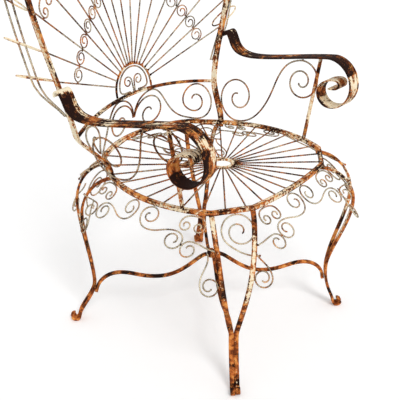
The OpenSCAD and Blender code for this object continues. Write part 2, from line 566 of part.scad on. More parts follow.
seat_rim();
seat_hub();
seat_wires();
leg_front_left();
leg_front_right();
leg_back_left();
leg_back_right();
stretcher_disc();
stretchers();
apron_front();
apron_back();
apron_left();
apron_right();
corner_front_left();
corner_front_right();
corner_back_left();
corner_back_right();
arm_left();
arm_right();
arm_post_left();
arm_post_right();
side_scroll_left();
side_scroll_right();
hoop();
back_rail();
arch();
arch_curls();
fan();
garland();
curl_row();
outer_wire_front();
outer_wire_back();
rings();
lower_scroll_left();
lower_scroll_right();
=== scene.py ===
"""Looks of the wrought iron armchair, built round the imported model.

Every bar is a profile carried along a path. The paths repeat the construction's own formulas, in
millimetres, and a mesh is scaled to metres at the end. A path is an array of points; a profile is a
closed outline in the two directions that stand square to the path. All pieces ride on the body root.
"""
import math

import bpy
import numpy as np
from mathutils import Matrix


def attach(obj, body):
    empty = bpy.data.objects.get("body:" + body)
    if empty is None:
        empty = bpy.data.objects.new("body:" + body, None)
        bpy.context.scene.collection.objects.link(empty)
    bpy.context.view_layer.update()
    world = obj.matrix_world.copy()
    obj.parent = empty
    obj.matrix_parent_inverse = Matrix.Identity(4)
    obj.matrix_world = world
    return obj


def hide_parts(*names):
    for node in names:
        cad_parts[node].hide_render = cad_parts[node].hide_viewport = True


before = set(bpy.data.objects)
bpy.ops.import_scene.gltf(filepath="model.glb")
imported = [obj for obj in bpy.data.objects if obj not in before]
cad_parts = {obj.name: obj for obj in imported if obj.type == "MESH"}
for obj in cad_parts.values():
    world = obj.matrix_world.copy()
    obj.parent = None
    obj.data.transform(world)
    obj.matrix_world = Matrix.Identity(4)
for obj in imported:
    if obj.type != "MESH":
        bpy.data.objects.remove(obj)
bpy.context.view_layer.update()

FINE = 3          # how many times finer than the construction's paths the scene's are
MIDDLE = 16.5     # how far behind the seat's middle the middle of the whole chair lies
GAP = 0.3         # the space that stands for a weld in the construction

# sizes, as in the construction
SEAT_H, RIM = 430.0, 10.0
RIM_TOP, RIM_LOW = SEAT_H + RIM / 2, SEAT_H - RIM / 2
FRONT_HALF, BACK_HALF, FRONT_Y, BACK_Y = 135.0, 157.0, 231.0, 190.0
SIDE_FRONT, SIDE_BACK, SIDE_FRONT_Y, SIDE_BACK_Y = 208.0, 203.0, 178.0, 118.0
HUB_R, HUB_BAND, HUB_Y, SPOKES = 28.0, 8.0, 45.0, 32
LEG_W, LEG_T, KNEE_Z, ANKLE_Z, FOOT_CURL = 11.0, 6.0, 320.0, 118.0, 7.0
KNEE, ANKLE, FOOT, OUT_ANGLE = (85.0, 74.0), (31.0, 54.0), (70.0, 114.0), (-43.0, 52.0)
CROSS_Z, TROUGH_Z, CREST_Z, BRACE_Z, CROSS_Y, BRACE = 172.0, 117.0, 137.0, 94.0, 12.0, 8.0
ARM_HALF, ARM_SPLAY, ARM_W, ARM_T = 274.0, 14.0, 38.0, 4.0
ARM_LOW, ARM_HIGH, ARM_END_Z, ARM_REACH = 597.0, 641.0, 652.0, 229.0
POST_D, POST_FOOT_Y, POST_HEAD_Y = 9.0, 120.0, 130.0
BARREL_R, BACK_MID_Y, RAIL_Z, RAIL_DROP, RAIL_HALF = 600.0, 228.0, 546.0, 26.0, 246.0
HOOP_HALF, HOOP_WIDE_Z, HOOP_TOP, LEAN, HOOP_W, HOOP_T = 340.0, 870.0, 1150.0, 0.13, 16.0, 5.0
WIRE, THIN, ARCH_R, ARCH_C, RAIL_T = 5.0, 4.0, 60.0, 12.0, 7.0
FAN_LAST, FAN_PITCH, GARLAND_R, OUTER_GAP, FAN_D = 8, 8.65, 225.0, 45.0, 4.4
BEND, HOOK, TOP_OFF = 21.0, 18.0, GAP + THIN / 2
S_END, HOOK_DROP, PAIR_W = (68.0, -66.0), 43.0, 28.0
SPIRAL_R, SPIRAL_DROP, WING_R, WING_Z = 37.0, 69.0, 19.0, 308.0
WING_TOP_X, WING_TOP_OUT, WING_TOP_Z = 50.0, 42.0, 362.0
ROW_BEYOND, ROW_INSIDE, RING_LONG, RING_WIDE = 160.0, 38.0, 48.0, 17.0

# what only the scene has: thinner wires, and the length in which a twisted wire turns once
FAN_WIRE, GARLAND_WIRE, ROW_WIRE, APRON_WIRE, SCROLL_WIRE = 2.9, 2.4, 2.7, 2.8, 3.4
ARCH_BAR, INNER_ARCH_WIRE, ARCH_CURL_WIRE, RING_WIRE = WIRE - 0.6, 3.2, 2.8, 3.3
PITCH = 21.0
WELD_OFF = 1.5    # how far a weld bead lies outside the middle of its wire


# ---- paths ----
def pt(*v):
    return np.array(v, float)


def unit(v):
    return v / np.linalg.norm(v, axis=-1, keepdims=True)


def turn(a):
    """The direction at an angle in degrees; an array of angles gives an array of directions."""
    a = np.radians(a)
    return np.stack([np.cos(a), np.sin(a)], -1)


def left_of(t):
    return np.stack([-t[..., 1], t[..., 0]], -1)


def tangent(p):
    """Each point's direction: the next point minus the one before, made one long."""
    d = np.empty_like(p)
    d[1:-1] = p[2:] - p[:-2]
    d[0], d[-1] = p[1] - p[0], p[-1] - p[-2]
    return unit(d)


def curve(a, b, c, d, n):
    """A cubic curve: a s^3 + 3 b s^2 t + 3 c s t^2 + d t^3, where s = 1 - t and t runs from 0 to 1."""
    t = np.linspace(0, 1, n * FINE + 1)[:, None]
    s = 1 - t
    a, b, c, d = (np.array(q, float) for q in (a, b, c, d))
    return a * s**3 + b * 3 * s**2 * t + c * 3 * s * t**2 + d * t**3


def line(a, b, n):
    """A straight path from a to b."""
    t = np.linspace(0, 1, n * FINE + 1)[:, None]
    return np.array(a, float) * (1 - t) + np.array(b, float) * t


def spiral(c, r, e, a, b, n):
    """Round c from angle a to angle b, while the radius runs evenly from r to e."""
    t = np.linspace(0, 1, n * FINE + 1)
    return np.array(c, float) + (r + (e - r) * t)[:, None] * turn(a + (b - a) * t)


def arc(c, r, a, b, n):
    """A part of the circle round c, from angle a to angle b."""
    return spiral(c, r, r, a, b, n)


def chain(*parts):
    """Paths joined end to end: each starts where the one before it ends."""
    before = [np.asarray(p, float)[:-1] for p in parts[:-1]]
    return np.concatenate(before + [np.asarray(parts[-1], float)])


def flip(p):
    """A flat path mirrored and run backwards, to chain with itself."""
    return p[::-1] * pt(-1, 1)


def mirrored(p):
    return p * pt(-1, 1, 1)


def in_plane(p, o, ex, ey):
    """Flat points x, y placed at o + x ex + y ey."""
    return np.array(o) + p[:, :1] * np.array(ex) + p[:, 1:2] * np.array(ey)


def even(p, step):
    """The path's points again, evenly spaced along its length, about a step apart."""
    d = np.r_[0, np.cumsum(np.linalg.norm(np.diff(p, axis=0), axis=1))]
    n = max(3, int(round(d[-1] / step)) + 1)
    s = np.linspace(0, d[-1], n)
    return np.stack([np.interp(s, d, p[:, k]) for k in range(p.shape[1])], 1)


def smoothed(p, times=2):
    """Each inner point moves to a quarter of its neighbours' sum plus half of itself."""
    p = p.copy()
    for _ in range(times):
        p[1:-1] = (p[:-2] + 2 * p[1:-1] + p[2:]) / 4
    return p


# ---- surfaces ----
def rounded(w, t, r, n=2):
    """A rectangle w by t whose corners are arcs of radius r, with an edge value of 1 at every point."""
    r = min(r, w / 2.01, t / 2.01)
    pts, edge = [], []
    for k, (sx, sy) in enumerate(((1, 1), (-1, 1), (-1, -1), (1, -1))):
        a = np.radians(90 * k + np.linspace(0, 90, n + 1))
        pts.append(np.stack([sx * (w / 2 - r) + r * np.cos(a), sy * (t / 2 - r) + r * np.sin(a)], 1))
        edge.append(np.ones(n + 1))
    return np.concatenate(pts), np.concatenate(edge)


def plain(side, r):
    """A small bar's rounded square, worn alike all round."""
    p, e = rounded(side, side, r)
    return p, e * 0.3


def strap(w, t, r, across=4):
    """A rounded rectangle with points across its wide faces too, so that wear can fade from its
    edges. On a square bar all four faces are wide."""
    p = rounded(w, t, r)[0]
    n = len(p) // 4
    out, edge = [], []
    for k in range(4):
        out += list(p[k * n:(k + 1) * n])
        edge += [1.0] * n
        a, b = p[(k + 1) * n - 1], p[((k + 1) * n) % len(p)]
        m = across if np.linalg.norm(b - a) > w / 2 else 1
        for i in range(1, m):
            out.append(a + (b - a) * i / m)
            edge.append(0.0)
    return np.array(out), np.array(edge)


def noise_along(n, seed, rough):
    """A smooth random run of n numbers: a random value at about every rough-th, joined by cosine
    steps."""
    rng = np.random.default_rng(seed)
    k = max(3, n // rough)
    v = rng.uniform(-1, 1, k + 1)
    x = np.linspace(0, k, n)
    i = np.minimum(x.astype(int), k - 1)
    f = (1 - np.cos((x - i) * math.pi)) / 2
    return v[i] * (1 - f) + v[i + 1] * f


def square(side, ridge=0.12):
    """A square whose corners are flattened by that share of the side, with a point amid each face."""
    h, c = side / 2, side / 2 * (1 - ridge)
    pts, edge = [], []
    for k in range(4):
        q = math.radians(90 * k)
        for x, y, e in ((h, c, 1.0), (c, h, 1.0), (0, h, 0.0)):
            pts.append((x * math.cos(q) - y * math.sin(q), x * math.sin(q) + y * math.cos(q)))
            edge.append(e)
    return np.array(pts), np.array(edge)


def turned(r, z, n):
    """The outline r, z turned round the upright axis in n steps: its points and faces."""
    a = np.linspace(0, 2 * math.pi, n + 1)[:-1]
    v = np.stack([r[:, None] * np.cos(a), r[:, None] * np.sin(a),
                  np.broadcast_to(z[:, None], (len(r), n))], -1)
    i, k = np.arange(len(r) - 1)[:, None], np.arange(n)[None]
    j = (k + 1) % n
    f = np.stack([i * n + k, (i + 1) * n + k, (i + 1) * n + j, i * n + j], -1)
    return v.reshape(-1, 3), f.reshape(-1, 4)


class Heap:
    """Surfaces gathered into one mesh, with each point's edge wear, paint and lie; on the near arm's
    underside the edge value and paint hold painted shade as well. On a bar, lie is the distance along it
    and round it, and the bar's number, so that no two bars have the same streaks."""

    def __init__(self):
        self.v, self.f, self.edge, self.paint, self.lie, self.n = [], [], [], [], [], 0

    def add(self, v, f, edge, paint, lie):
        self.v.append(v)
        self.f.append(f + self.n)
        self.edge.append(edge)
        self.paint.append(paint)
        self.lie.append(lie * 0.001 + pt(0, 0, len(self.v)))
        self.n += len(v)


def carry(heap, p, wide, profile, twist=0.0, start=0.0, paint=0.5, closed=False, wear_and_shade=0.0):
    """The profile carried along p: point + x a + y b, where a is wide made square to the path, b is the
    path's direction crossed with a, and both turn by twist degrees a millimetre. Ends are closed. Each
    vertex keeps how it lies: its distance along the path and round the profile. paint is a number, one
    for each point of the path, or one for each vertex; the last argument, an extra edge value, is added
    to the profile's own edge wear, and on the near arm's underside it is painted shade as well as wear."""
    shape, edge = profile
    p = np.asarray(p, float)
    if closed:
        d = unit(np.roll(p, -1, 0) - np.roll(p, 1, 0))
    else:
        d = tangent(p)
    wide = np.broadcast_to(np.array(wide, float), p.shape)
    a = unit(wide - d * (wide * d).sum(1)[:, None])
    b = np.cross(d, a)
    along = np.r_[0, np.cumsum(np.linalg.norm(np.diff(p, axis=0), axis=1))]
    if twist:
        q = np.radians(start + twist * along)[:, None]
        a, b = a * np.cos(q) + b * np.sin(q), b * np.cos(q) - a * np.sin(q)
    n, m = len(p), len(shape)
    x, y = shape[:, 0][None, :, None], shape[:, 1][None, :, None]
    v = (p[:, None] + a[:, None] * x + b[:, None] * y).reshape(-1, 3)
    i = np.arange(n if closed else n - 1)[:, None]
    k = np.arange(m)[None, :]
    j, i2 = (k + 1) % m, (i + 1) % n
    f = np.stack([i * m + k, i * m + j, i2 * m + j, i2 * m + k], -1).reshape(-1, 4)
    e = (np.tile(edge, (n, 1)) + wear_and_shade).ravel()
    paint = np.asarray(paint, float)
    pa = (np.zeros((n, m)) + (paint[:, None] if paint.ndim == 1 else paint)).ravel()
    around = np.r_[0, np.cumsum(np.linalg.norm(np.diff(shape, axis=0), axis=1))]
    lie = np.stack([np.repeat(along, m), np.tile(around, n), np.zeros(n * m)], 1)
    if not closed:
        v = np.concatenate([v, p[:1], p[-1:]])
        e = np.r_[e, 1.0, 1.0]
        pa = np.r_[pa, pa[0], pa[-1]]
        lie = np.concatenate([lie, lie[:1], lie[-1:]])
        c = np.arange(m)
        c2 = (c + 1) % m
        base = (n - 1) * m
        first = np.stack([np.full(m, n * m), c2, c, c], -1)
        last = np.stack([np.full(m, n * m + 1), base + c, base + c2, base + c2], -1)
        f = np.concatenate([f, first, last])
    heap.add(v, f, e, pa, lie)


def make(name, heap, material, nodes):
    """One mesh, in metres, from a heap; a face whose last two corners are one is a triangle."""
    v, f = (np.concatenate(heap.v) - pt(0, MIDDLE, 0)) * 0.001, np.concatenate(heap.f)
    tri = f[:, 2] == f[:, 3]
    size = np.where(tri, 3, 4)
    start = np.r_[0, np.cumsum(size)[:-1]]
    keep = np.ones(f.shape, bool)
    keep[:, 3] = ~tri
    mesh = bpy.data.meshes.new(name)
    mesh.vertices.add(len(v))
    mesh.vertices.foreach_set("co", v.astype(np.float32).ravel())
    mesh.loops.add(int(size.sum()))
    mesh.loops.foreach_set("vertex_index", f[keep].astype(np.int32))
    mesh.polygons.add(len(f))
    mesh.polygons.foreach_set("loop_start", start.astype(np.int32))
    mesh.polygons.foreach_set("use_smooth", np.ones(len(f), bool))
    mesh.update(calc_edges=True)
    for key, values in (("edge", heap.edge), ("paint", heap.paint)):
        mesh.attributes.new(key, "FLOAT", "POINT").data.foreach_set(
            "value", np.concatenate(values).astype(np.float32))
    mesh.attributes.new("lie", "FLOAT_VECTOR", "POINT").data.foreach_set(
        "vector", np.concatenate(heap.lie).astype(np.float32).ravel())
    mesh.validate()
    piece = bpy.data.objects.new(name, mesh)
    bpy.context.scene.collection.objects.link(piece)
    mesh.materials.append(material)
    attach(piece, "root")
    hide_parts(*nodes)
    return piece


# ---- materials ----
class Sock:
    """A shader socket or a number; its arithmetic adds Math nodes."""

    def __init__(self, mat, out):
        self.mat, self.out = mat, out

    def math(self, kind, *others, clamp=False):
        return self.mat.node("ShaderNodeMath", {"operation": kind, "use_clamp": clamp},
                             dict(enumerate((self,) + others)))

    def __add__(self, o): return self.math("ADD", o)
    def __sub__(self, o): return self.math("SUBTRACT", o)
    def __mul__(self, o): return self.math("MULTIPLY", o)
    def __rsub__(self, o): return (self * -1.0).math("ADD", o)

    def step(self, at, soft):
        """0 below at - soft, 1 above at + soft, and a straight ramp between."""
        return ((self - (at - soft)) * (0.5 / soft)).math("ADD", 0.0, clamp=True)


class Mat:
    """A material made by one method that adds any node: kind, settings, inputs and which output."""

    def __init__(self, name):
        self.m = bpy.data.materials.new(name)
        self.m.use_nodes = True
        self.t = self.m.node_tree
        self.t.nodes.clear()

    def node(self, kind, settings, inputs, out=0):
        n = self.t.nodes.new(kind)
        for k, v in settings.items():
            setattr(n, k, v)
        for k, v in inputs.items():
            if isinstance(v, Sock):
                self.t.links.new(v.out, n.inputs[k])
            else:
                n.inputs[k].default_value = v
        return Sock(self, n.outputs[out]) if len(n.outputs) else None

    def noise(self, scale, detail, rough, at, warp=0.0):
        return self.node("ShaderNodeTexNoise", {"noise_dimensions": "3D"},
                         {"Vector": at, "Scale": scale, "Detail": detail, "Roughness": rough,
                          "Distortion": warp})

    def blend(self, f, a, b):
        """The colour a where f is 0 and b where it is 1."""
        return self.node("ShaderNodeMix", {"data_type": "RGBA"}, {0: f, 6: a, 7: b}, 2)


def rgb(r, g, b):
    return (r, g, b, 1.0)


BLACK, BROWN, RUST = rgb(0.016, 0.005, 0.003), rgb(0.17, 0.042, 0.013), rgb(0.58, 0.16, 0.035)
GLOW, STAIN, CREAM = rgb(0.78, 0.34, 0.09), rgb(0.84, 0.52, 0.24), rgb(0.92, 0.83, 0.62)


def flaking_paint(name, cover, black_share, ridge=0.05, streak=0.0, cloud_scale=45.0,
                  drawn_scale=(16.0, 110.0, 7.3)):
    """Cream paint over rusted iron. The paint is gone where a noise rises above a level that follows
    cover, the mesh's own paint value and the wear on its edges; on the near arm's underside those mesh
    values carry painted shade, which strips the paint to bare, mostly near-black iron. The noise is part
    cloud, in space, and part streak, drawn out along the bar. Bare iron runs from orange rust through
    brown to near black, and a stain lies on the paint round each bare place."""
    m = Mat(name)
    here = m.node("ShaderNodeTexCoord", {}, {}, 3)
    lie = m.node("ShaderNodeAttribute", {"attribute_name": "lie"}, {}, 1)
    along = m.node("ShaderNodeMapping", {}, {"Vector": lie, "Scale": drawn_scale})
    paint = m.node("ShaderNodeAttribute", {"attribute_name": "paint"}, {}, 2)
    edge = m.node("ShaderNodeAttribute", {"attribute_name": "edge"}, {}, 2)
    cloud = m.noise(cloud_scale, 6.0, 0.68, here, 0.5)
    chip = m.noise(230.0, 3.0, 0.6, here, 0.2)
    drawn = m.noise(1.0, 4.0, 0.62, along, 0.6)
    level = cloud * (0.74 * (1 - streak)) + drawn * (0.74 * streak) + chip * 0.26
    want = paint * 0.36 + (cover * 0.36 + 0.14) - edge * ridge
    there = (want - level).step(0.0, 0.012)
    near = (want - level).step(0.015, 0.05)
    fine = m.noise(420.0, 4.0, 0.65, here)
    tone = (m.noise(26.0, 5.0, 0.62, here, 0.4) * (0.72 - 0.3 * streak) + drawn * (0.3 * streak)
            + fine * 0.28)
    black = (tone + edge * (ridge * 0.5)).step(0.60 - black_share * 0.2, 0.035)
    warm = m.noise(70.0, 4.0, 0.6, here)
    iron = m.blend(warm.step(0.47, 0.05), BROWN, m.blend(warm.step(0.58, 0.05), RUST, GLOW))
    iron = m.blend(black, iron, BLACK)
    coat = m.blend(m.noise(60.0, 5.0, 0.7, here).step(0.57, 0.08) * 0.7, CREAM, STAIN)
    colour = m.blend(there, iron, m.blend(near, STAIN, coat))
    height = there * 0.5 + fine * (1 - there * 0.8) * 0.6 + chip * 0.3
    bump = m.node("ShaderNodeBump", {}, {"Strength": 0.55, "Distance": 0.0007, "Height": height})
    gloss = 0.86 - there * 0.34 + (fine - 0.5) * 0.2 - black * 0.12
    shader = m.node("ShaderNodeBsdfPrincipled", {}, {"Base Color": colour, "Roughness": gloss,
                    "Specular IOR Level": 0.08, "Normal": bump})
    m.node("ShaderNodeOutputMaterial", {}, {"Surface": shader})
    return m.m


wires_mat = flaking_paint("flaking_wires", 0.86, 0.1, ridge=0.34, cloud_scale=85.0)
rim_mat = flaking_paint("worn_rim", 0.44, 0.42, streak=0.2, cloud_scale=130.0)
cream_mat = flaking_paint("worn_cream", 0.42, 0.30, streak=0.35, cloud_scale=120.0)
# on the near arm's underside this material shows painted shade, set through the mesh's edge and paint
# values
arm_mat = flaking_paint("worn_and_shaded_arm", 0.56, 0.6, streak=0.8, drawn_scale=(28.0, 140.0, 7.3))


# ---- the chair's paths, as in the construction ----
# k counts the rails: front, left, back, right. back is 0 for a front leg or corner and 1 for a back one;
# the paths are those of the left side. s picks one of two bars, halves or wings: -1 or 1.
RAILS = ((pt(-FRONT_HALF, -FRONT_Y), pt(FRONT_HALF, -FRONT_Y), 12.0),
         (pt(SIDE_FRONT, -SIDE_FRONT_Y), pt(SIDE_BACK, SIDE_BACK_Y), 38.0),
         (pt(BACK_HALF, BACK_Y), pt(-BACK_HALF, BACK_Y), 54.0),
         (pt(-SIDE_BACK, SIDE_BACK_Y), pt(-SIDE_FRONT, -SIDE_FRONT_Y), 38.0))


def on_rail(k, u):
    """A point on a rail: a circle's arc through both ends that bulges by the given height."""
    a, b, bulge = RAILS[k]
    half = np.linalg.norm(b - a) / 2
    ex = unit(b - a)
    out = -left_of(ex)
    big = (half * half + bulge * bulge) / (2 * bulge)
    x = np.asarray(u, float)[..., None] * half
    return (a + b) / 2 + ex * x + out * (np.sqrt(big * big - x * x) - big + bulge)


def rim_path(n):
    return np.concatenate([on_rail(k, np.linspace(-1, 1, n + 1)) for k in range(4)])


def hit(p, c, d):
    """Where the line from c along d first meets the closed path p, and the path's direction there."""
    a, e = p, np.roll(p, -1, 0) - p
    den = d[0] * e[:, 1] - d[1] * e[:, 0]
    den = np.where(np.abs(den) < 1e-12, 1e-12, den)
    q = a - c
    t = (q[:, 0] * e[:, 1] - q[:, 1] * e[:, 0]) / den
    s = (q[:, 0] * d[1] - q[:, 1] * d[0]) / den
    i = np.nonzero((t > 0) & (s >= 0) & (s < 1))[0][0]
    return c + d * t[i], unit(e[i])


def leg_profile(back):
    """A leg bar's side view: distance outwards and height, from the rim down to the foot's curl."""
    knee, ankle, foot = KNEE[back], ANKLE[back], FOOT[back]
    top, low = RIM_LOW - GAP - LEG_T / 2, LEG_T / 2
    return chain(
        curve([-6, top], [35, top], [knee, 376], [knee, KNEE_Z], 8),
        curve([knee, KNEE_Z], [knee, 255], [ankle, 178], [ankle, ANKLE_Z], 8),
        curve([ankle, ANKLE_Z], [ankle, 90], [foot - 31, 56], [foot - 19, 32], 6),
        curve([foot - 19, 32], [foot - 12, 17], [foot - 14, low], [foot - 8, low], 4),
        line([foot - 8, low], [foot + 1, low], 3),
        arc([foot + 1, low + FOOT_CURL], FOOT_CURL, -90, 120, 10))


def spread(z, back):
    """Half the distance between a leg's bars along the cut corner, which lies askew to the leg: at the
    top as long as the corner, and from 145 mm down so close that the bars just clear each other."""
    o, a = leg_out(back), leg_across(back)
    tight, top = (LEG_W + GAP) / 2 / abs(o[0] * a[1] - o[1] * a[0]), np.linalg.norm(cut_corner(back)) / 2
    return tight + (top - tight) * np.clip((z - 145) / (RIM_LOW - 145), 0, 1) ** 0.8


def leg_mid(back):
    """The middle of the rim's cut corner, below which a leg starts."""
    return pt((BACK_HALF + SIDE_BACK) / 2, (BACK_Y + SIDE_BACK_Y) / 2) if back \
        else pt((FRONT_HALF + SIDE_FRONT) / 2, -(FRONT_Y + SIDE_FRONT_Y) / 2)


def leg_out(back):
    """The direction in which a leg stands out."""
    return turn(OUT_ANGLE[back])


def cut_corner(back):
    return (pt(SIDE_BACK - BACK_HALF, SIDE_BACK_Y - BACK_Y) if back
            else pt(FRONT_HALF - SIDE_FRONT, SIDE_FRONT_Y - FRONT_Y))


def leg_across(back):
    """The direction along the cut corner, in which a leg's bars lie side by side."""
    return unit(cut_corner(back))


def reach(back, z):
    """How far outwards a leg stands at a height above its foot's curl."""
    q = leg_profile(back)
    q = q[q[:, 1] > 60][::-1]
    return np.interp(z, q[:, 1], q[:, 0])


def bar_at(back, s, z):
    return leg_mid(back) + leg_out(back) * reach(back, z) + leg_across(back) * s * spread(z, back)


def leg_bar(back, s):
    """The path in space of one of a leg's bars."""
    q = leg_profile(back)
    half = (s * spread(q[:, 1], back))[:, None]
    xy = leg_mid(back) + leg_out(back) * q[:, :1] + leg_across(back) * half
    return np.c_[xy, q[:, 1]]


def s_unit():
    """An apron's S: a lobe hung from the rail and a lobe round S_END that curls back under the sweep."""
    o = -TOP_OFF - BEND
    return chain(spiral([0, o], 6, BEND, -250, 80, 16), arc([0, o], BEND, 80, 180, 5),
                 curve([-BEND, o], [-BEND, -44], [-9, -55], [12, -55], 6),
                 curve([12, -55], [30, -55], [42, -45], [62, -45], 6),
                 curve([62, -45], [78, -45], [89, -53], [89, -66], 4),
                 arc(S_END, BEND, 0, -60, 3), spiral(S_END, BEND, 7, -60, -420, 18))


HOOK_C = pt(*S_END) + (BEND + HOOK + THIN + GAP) * turn(-20)     # the hook's middle
TOUCH = pt(*S_END) + (BEND + THIN / 2 + GAP / 2) * turn(-20)     # where it is welded to the S


def hook_unit(l, h):
    """An apron's hook: from the leg's bar, l out and h down, to a lobe beside the S's end."""
    return chain(curve([l, -h], [l - 25, -h], HOOK_C + pt(22, HOOK), HOOK_C + pt(0, HOOK), 6),
                 arc(HOOK_C, HOOK, 90, 240, 7), spiral(HOOK_C, HOOK, 6, 240, 520, 13))


def lean_off(a):
    """How far below the rail's underside a wire's middle lies, along a plane that leans by a."""
    return GAP / math.cos(a) + THIN / 2 * (1 + math.tan(a))


def curl_pair(w, off):
    """Two curls w wide each that turn in towards each other, off below their plane's origin."""
    k = w / 26
    half = chain(curve([0, -off], [16 * k, -off], [26 * k, -10 * k], [26 * k, -27 * k], 5),
                 spiral([13.5 * k, -27 * k], 12.5 * k, 4 * k, 0, -400, 18))
    return chain(flip(half), half)


def apron_half(k, s, back, side, room):
    """The three wires of half an apron: path, the normal of its plane and where it is welded. They
    hang in a plane that leans out from the rail's underside to the leg's bar on that side. Room is
    what the hook has there beyond the gap."""
    a, b, _ = RAILS[k]
    half = np.linalg.norm(b - a) / 2
    ex = unit(on_rail(k, np.float64(s)) - on_rail(k, s * (BEND + THIN / 2) / half))
    n = left_of(ex) * -s
    tilt = math.acos(float(ex @ unit(b - a)) * s)
    inner = (BEND + THIN / 2) * math.cos(tilt) + THIN / 2 * math.sin(tilt) + GAP / 2
    near = on_rail(k, s * inner / half)
    bar_room = abs(leg_across(back) @ n) * LEG_W / 2 + abs(leg_out(back) @ n) * LEG_T / 2
    far = bar_at(back, side, RIM_LOW - HOOK_DROP) + n * (bar_room + GAP + THIN / 2 + room) - near
    lean = math.atan2(far @ n, HOOK_DROP)
    x3, ey = pt(ex[0], ex[1], 0), pt(-n[0] * math.sin(lean), -n[1] * math.sin(lean), math.cos(lean))
    normal = np.cross(x3, ey)
    lower = lean_off(lean) - TOP_OFF
    o = pt(near[0], near[1], RIM_LOW) - ey * lower
    l, h = far @ ex, math.hypot(far @ n, HOOK_DROP) - lower
    top = on_rail(k, s * (half - PAIR_W) / half)
    t = pt(top[0], top[1], RIM_LOW)
    touch = in_plane(pt(*TOUCH)[None], o, x3, ey)[0]
    end = in_plane(pt(l, -h)[None], o, x3, ey)[0]
    return [(in_plane(s_unit(), o, x3, ey), normal, [o + ey * (lower - 1.2), touch]),
            (in_plane(hook_unit(l, h), o, x3, ey), normal, [end - pt(n[0], n[1], 0) * WELD_OFF]),
            (in_plane(curl_pair(PAIR_W, lean_off(lean)), t, x3, ey), normal, [t - ey * 1.2])]


def corner_wires(back):
    """A corner's three wires: a large spiral between the leg's bars and a wing outside each bar."""
    mid, out, ex = leg_mid(back), leg_out(back), leg_across(back)
    n = -left_of(ex)
    n = n * (1 if out @ n > 0 else -1)
    x3 = pt(ex[0], ex[1], 0)

    z = RIM_LOW - SPIRAL_DROP
    o = reach(back, z) * (out @ n) - LEG_T / 2 - GAP - THIN / 2 - 1
    far = math.hypot(o, SPIRAL_DROP)
    ey = -pt(n[0] * o, n[1] * o, -SPIRAL_DROP) / far
    c = pt(5, -lean_off(math.atan2(o, SPIRAL_DROP)) - SPIRAL_R)
    at, foot = pt(mid[0], mid[1], RIM_LOW), pt(spread(z, back), -far)
    path = chain(curve(foot, [12, -far + 1], [-8, c[1] - 40], c + SPIRAL_R * turn(225), 5),
                 arc(c, SPIRAL_R, 225, 75, 9), spiral(c, SPIRAL_R, 8, 75, -400, 26))
    wires = [(in_plane(path, at, x3, ey), np.cross(x3, ey),
              [pt(mid[0], mid[1], RIM_LOW - 0.8) + x3 * 5, in_plane(foot[None], at, x3, ey)[0]])]

    u = spread(WING_Z, back) + LEG_W / 2 + GAP + THIN / 2 + (WING_R + 0.6)
    q = mid + out * reach(back, WING_Z)
    d = pt((mid + n * WING_TOP_OUT - q) @ n, WING_TOP_Z - WING_Z)
    tall = np.linalg.norm(d)
    ey = pt(n[0] * d[0], n[1] * d[0], d[1]) / tall
    at, edge = pt(q[0], q[1], WING_Z), u + WING_R
    path = chain(curve([WING_TOP_X, tall], [47, tall * 0.6], [edge, tall * 0.45], [edge, 0], 6),
                 arc([u, 0], WING_R, 0, -180, 9), spiral([u, 0], WING_R, 6, -180, -500, 16))
    for s in (-1, 1):
        xs = x3 * s
        wires.append((in_plane(path, at, xs, ey), np.cross(xs, ey),
                      [at + xs * (u - WING_R - THIN / 2)]))
    return wires


def back_at(x, z):
    """The back's surface: curved like a barrel and leaning backwards."""
    x, z = np.asarray(x, float), np.asarray(z, float)
    return np.stack([x, BACK_MID_Y + LEAN * (z - RAIL_Z) - x * x / (2 * BARREL_R), z], -1)


def rail_at(x):
    """The cross rail's height at x."""
    return RAIL_Z - RAIL_DROP * x * x / (RAIL_HALF * RAIL_HALF)


def hoop_side():
    """The left half of the hoop seen from the front, from the cross rail's end to its top."""
    a = np.linspace(0, 90, 10 * FINE + 1)
    return chain(curve([RAIL_HALF, RAIL_Z - RAIL_DROP], [RAIL_HALF + 11, RAIL_Z - RAIL_DROP + 92],
                       [HOOP_HALF - 16, HOOP_WIDE_Z - 122], [HOOP_HALF, HOOP_WIDE_Z], 10),
                 np.stack([HOOP_HALF * np.cos(np.radians(a)),
                           HOOP_WIDE_Z + (HOOP_TOP - HOOP_WIDE_Z) * np.sin(np.radians(a))], 1))


def hoop_path():
    """The hoop's middle line, from the rim on the left over the top to the rim on the right."""
    e = back_at(RAIL_HALF, RAIL_Z - RAIL_DROP)
    f = pt(SIDE_BACK, SIDE_BACK_Y, RIM_TOP + GAP)
    g = f + pt(0, 0, 4)
    h = hoop_side()
    half = chain(line(f, g, 1), curve(g, f + pt(0, 0, 30), e - pt(10, 8, 24), e, 7),
                 back_at(h[:, 0], h[:, 1]))
    return chain(half, mirrored(half)[::-1])


def hoop_front():
    """The whole hoop seen from the front, above the cross rail."""
    h = hoop_side()
    return chain(h, h[::-1] * pt(-1, 1))


# fan wires are counted from the middle one, 0, and to the left; a flat point of the fan is x, z
def fan_dir(i):
    return turn(90 - FAN_PITCH * i)


def fan_c(i):
    """The centre that fan wire i points away from; it sinks towards the outer wires."""
    return pt(0, RAIL_Z + 29 - 22 * i * i / 64)


def lift(q):
    """A flat point put on the back's surface."""
    return back_at(q[0], q[1])


def fan_start(i):
    """Where fan wire i starts, just outside the arch."""
    c, d = fan_c(i), fan_dir(i)
    q = c - pt(0, RAIL_Z + ARCH_C)
    b, r = q @ d, ARCH_R + WIRE / 2 + GAP + 0.3
    return c + d * (-b + math.sqrt(b * b - q @ q + r * r))


def fan_end(i):
    """Where fan wire i ends, just inside the hoop."""
    at, e = hit(hoop_front(), fan_c(i), fan_dir(i))
    k = abs(fan_dir(i) @ left_of(e))
    return at - fan_dir(i) * (HOOP_T / 2 + GAP + WIRE / 2 * math.sqrt(max(0, 1 - k * k))) / k


def hoop_r(i):
    """How far fan wire i ends from its centre."""
    return np.linalg.norm(fan_end(i) - fan_c(i))


